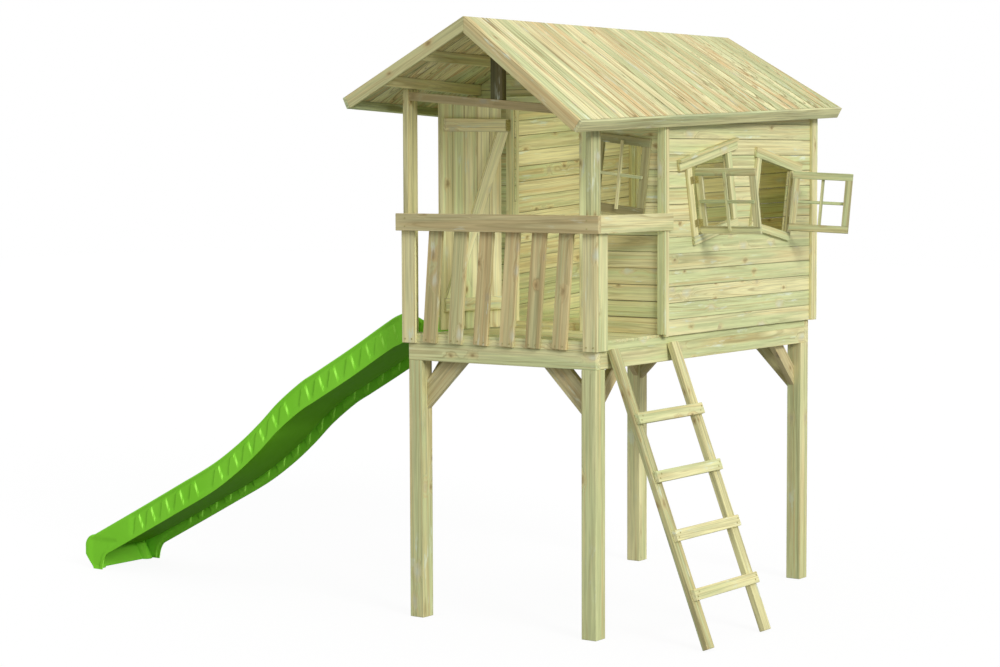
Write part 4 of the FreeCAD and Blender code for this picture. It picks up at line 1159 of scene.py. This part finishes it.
@dataclass(frozen=True)
class Studio:
    """Pale floor, white surroundings, soft light and the camera. Lengths are in metres."""

    camera_place: Triple = (6.6057, -10.0783, 2.4699)
    lens: float = 84.465
    film: float = 36.0
    sight: float = 100.0
    yaw: float = math.radians(35.524)
    pitch: float = math.radians(4.162)
    roll: float = math.radians(-0.194)
    floor_half: float = 40.0
    floor_drop: float = 0.001
    floor_tone: float = 0.38
    floor_roughness: float = 0.9
    floor_gloss: float = 0.1
    floor_glow: float = 1.16
    floor_share: float = 0.8
    horizon: float = 0.49
    zenith: float = 0.82
    sun_from: Triple = (0.83, -0.34, 0.44)
    sun_strength: float = 1.9
    sun_angle: float = math.radians(20)
    lamps: tuple[SoftLamp, ...] = (
        SoftLamp("cabin_lamp", (-0.22, 1.35, 2.35), (0, math.radians(90), 0), (0.9, 0.5), 6.0),
        SoftLamp("veranda_lamp", (-0.42, 0.02, 2.3), (math.radians(90), 0, 0), (0.8, 0.9), 0.8))

    def camera(self) -> None:
        """Place the camera at the photograph's angle."""
        data = bpy.data.cameras.new("camera")
        data.lens, data.sensor_width, data.sensor_fit = self.lens, self.film, "HORIZONTAL"
        data.clip_end = self.sight
        ahead = Vector((-math.sin(self.yaw) * math.cos(self.pitch),
                        math.cos(self.yaw) * math.cos(self.pitch), -math.sin(self.pitch)))
        right = Vector((math.cos(self.yaw), math.sin(self.yaw), 0))
        up = right.cross(ahead)
        turned = right * math.cos(self.roll) + up * math.sin(self.roll)
        upright = up * math.cos(self.roll) - right * math.sin(self.roll)
        camera = stand("camera", data)
        camera.matrix_world = Matrix.Translation(self.camera_place) @ Matrix(
            (turned, upright, -ahead)).transposed().to_4x4()
        bpy.context.scene.camera = camera

    def world(self) -> None:
        """Dome that lights the object, and white for what the camera sees."""
        world = bpy.data.worlds.new("studio")
        world.use_nodes = True
        sky = Nodes(world.node_tree)
        heading = sky.add("TexCoord").outputs["Generated"]
        height = sky.add("SeparateXYZ", heading).outputs["Z"]
        dome = sky.add("MapRange", height, 0.0, 1.0, self.horizon, self.zenith).outputs[0]
        seen = sky.add("LightPath").outputs
        direct = sky.math("MAXIMUM", seen["Is Camera Ray"], seen["Is Transmission Ray"])
        level = sky.add("MapRange", direct, 0.0, 1.0, dome, 1.0).outputs[0]
        backdrop = sky.add("Background", (1, 1, 1, 1), level)
        sky.add("OutputWorld", backdrop.outputs[0])
        bpy.context.scene.world = world

    def floor(self) -> None:
        """Pale floor that keeps the object's shadow."""
        sheet = bmesh.new()
        bmesh.ops.create_grid(sheet, x_segments=1, y_segments=1, size=self.floor_half)
        bmesh.ops.translate(sheet, verts=sheet.verts, vec=(0, 0, -self.floor_drop))
        mesh = joined([sheet], "floor")
        shader = Shader("floor")
        shader.set(shader.surface, Base_Color=(*[self.floor_tone] * 3, 1),
                   Roughness=self.floor_roughness, Specular_IOR_Level=self.floor_gloss)
        glow = shader.set(shader.add("Emission"), Strength=self.floor_glow)
        seen = shader.add("LightPath").outputs["Is Camera Ray"]
        blend = shader.add("MixShader", shader.math("MULTIPLY", seen, self.floor_share),
                           shader.surface.outputs[0], glow.outputs[0])
        shader.set(shader.output, Surface=blend.outputs[0])
        mesh.materials.append(shader.material)
        stand("floor", mesh)

    def sun(self) -> None:
        """Broad soft light from the right, above and a little in front."""
        data = bpy.data.lights.new("sun", "SUN")
        data.energy, data.angle = self.sun_strength, self.sun_angle
        sun = stand("sun", data)
        sun.rotation_mode = "QUATERNION"
        sun.rotation_quaternion = Vector(self.sun_from).to_track_quat("Z", "Y")

    def build(self) -> None:
        """Set up the studio."""
        self.camera()
        self.world()
        self.floor()
        self.sun()
        for lamp in self.lamps:
            lamp.build()
        bpy.context.scene.view_settings.view_transform = "Standard"


def playhouse() -> list[Timberwork]:
    """Sub-assemblies of timber, in building order."""
    return [
        Timberwork(("stilt_front_left", "stilt_front_right", "stilt_rear_left", "stilt_rear_right"),
                   Finish.FRAME, 0.004),
        Timberwork(("beam_front", "beam_left", "beam_rear", "beam_right", "floor_frame",
                    "floor_boards"), Finish.FRAME, 0.0025),
        # Knee braces: painted shade under the platform.
        Timberwork(("knee_braces_front", "knee_braces_left", "knee_braces_rear",
                    "knee_braces_right"), Finish.BROWN_AND_PAINTED_SHADE, 0.0025),
        Timberwork(("wall_boards_right", "wall_boards_left", "wall_boards_front",
                    "wall_boards_rear"), Finish.CLADDING, 0.0025, True),
        Timberwork(("wall_frame_front", "wall_frame_left", "wall_frame_rear",
                    "wall_frame_right"), Finish.FRAME),
        Timberwork(("corner_boards", "corner_trims", "drip_cap", "window_1_trim",
                    "window_2_trim"), Finish.TRIM),
        Timberwork(("casement_1_frame", "casement_1_muntins", "casement_2_frame",
                    "casement_2_muntins", "front_window_muntins"), Finish.CASEMENT, 0.0012),
        # Front window frame: painted shade of the veranda.
        Timberwork(("front_window_frame",), Finish.SHADED, 0.0012),
        # Door: painted light, paler wood for the light the roof keeps off.
        Timberwork(("door_boards", "door_jambs", "door_rails", "door_brace"), Finish.DOOR),
        # Veranda posts: browner wood with painted shade for their fronts.
        Timberwork(("veranda_post_left", "veranda_post_right"), Finish.POST, 0.0025),
        Timberwork(("rail_side",), Finish.FRAME, 0.0025),
        # Front rail and cross beam: browner wood, in the finish that paints shade on the knee braces.
        Timberwork(("rail_front", "cross_beam"), Finish.BROWN_AND_PAINTED_SHADE, 0.0025),
        # King post: painted deep shade under the roof.
        Timberwork(("king_post",), Finish.PAINTED_DEEP_SHADE, 0.0025),
        Timberwork(("balusters",), Finish.WARMED),
        Timberwork(("purlins", "ridge_beam"), Finish.FRAME, 0.0025),
        Timberwork(("roof_boards_left", "roof_boards_right"), Finish.ROOFING, 0.0025, True),
        Timberwork(("bargeboards_front", "bargeboards_rear"), Finish.WARMED, 0.002),
        Timberwork(("fascia_left", "fascia_right"), Finish.EAVES, 0.002),
        # Ladder stringers: the browner post wood, whose lowered paleness is painted shade meant for the
        # posts.
        Timberwork(("ladder_stringers",), Finish.POST, 0.004),
        Timberwork(("ladder_rungs",), Finish.FRAME, 0.004),
    ]


def main() -> None:
    """Build the playhouse's looks and the studio."""
    logging.basicConfig(level=logging.INFO, format="%(name)s %(message)s")
    bpy.context.view_layer.update()
    Studio().build()
    paintshop = Paintshop()
    for timberwork in playhouse():
        timberwork.build(paintshop)
    Hardware().build(paintshop)
    MouldedSlide().build(paintshop)
    bpy.context.view_layer.update()


if __name__ == "__main__":
    main()
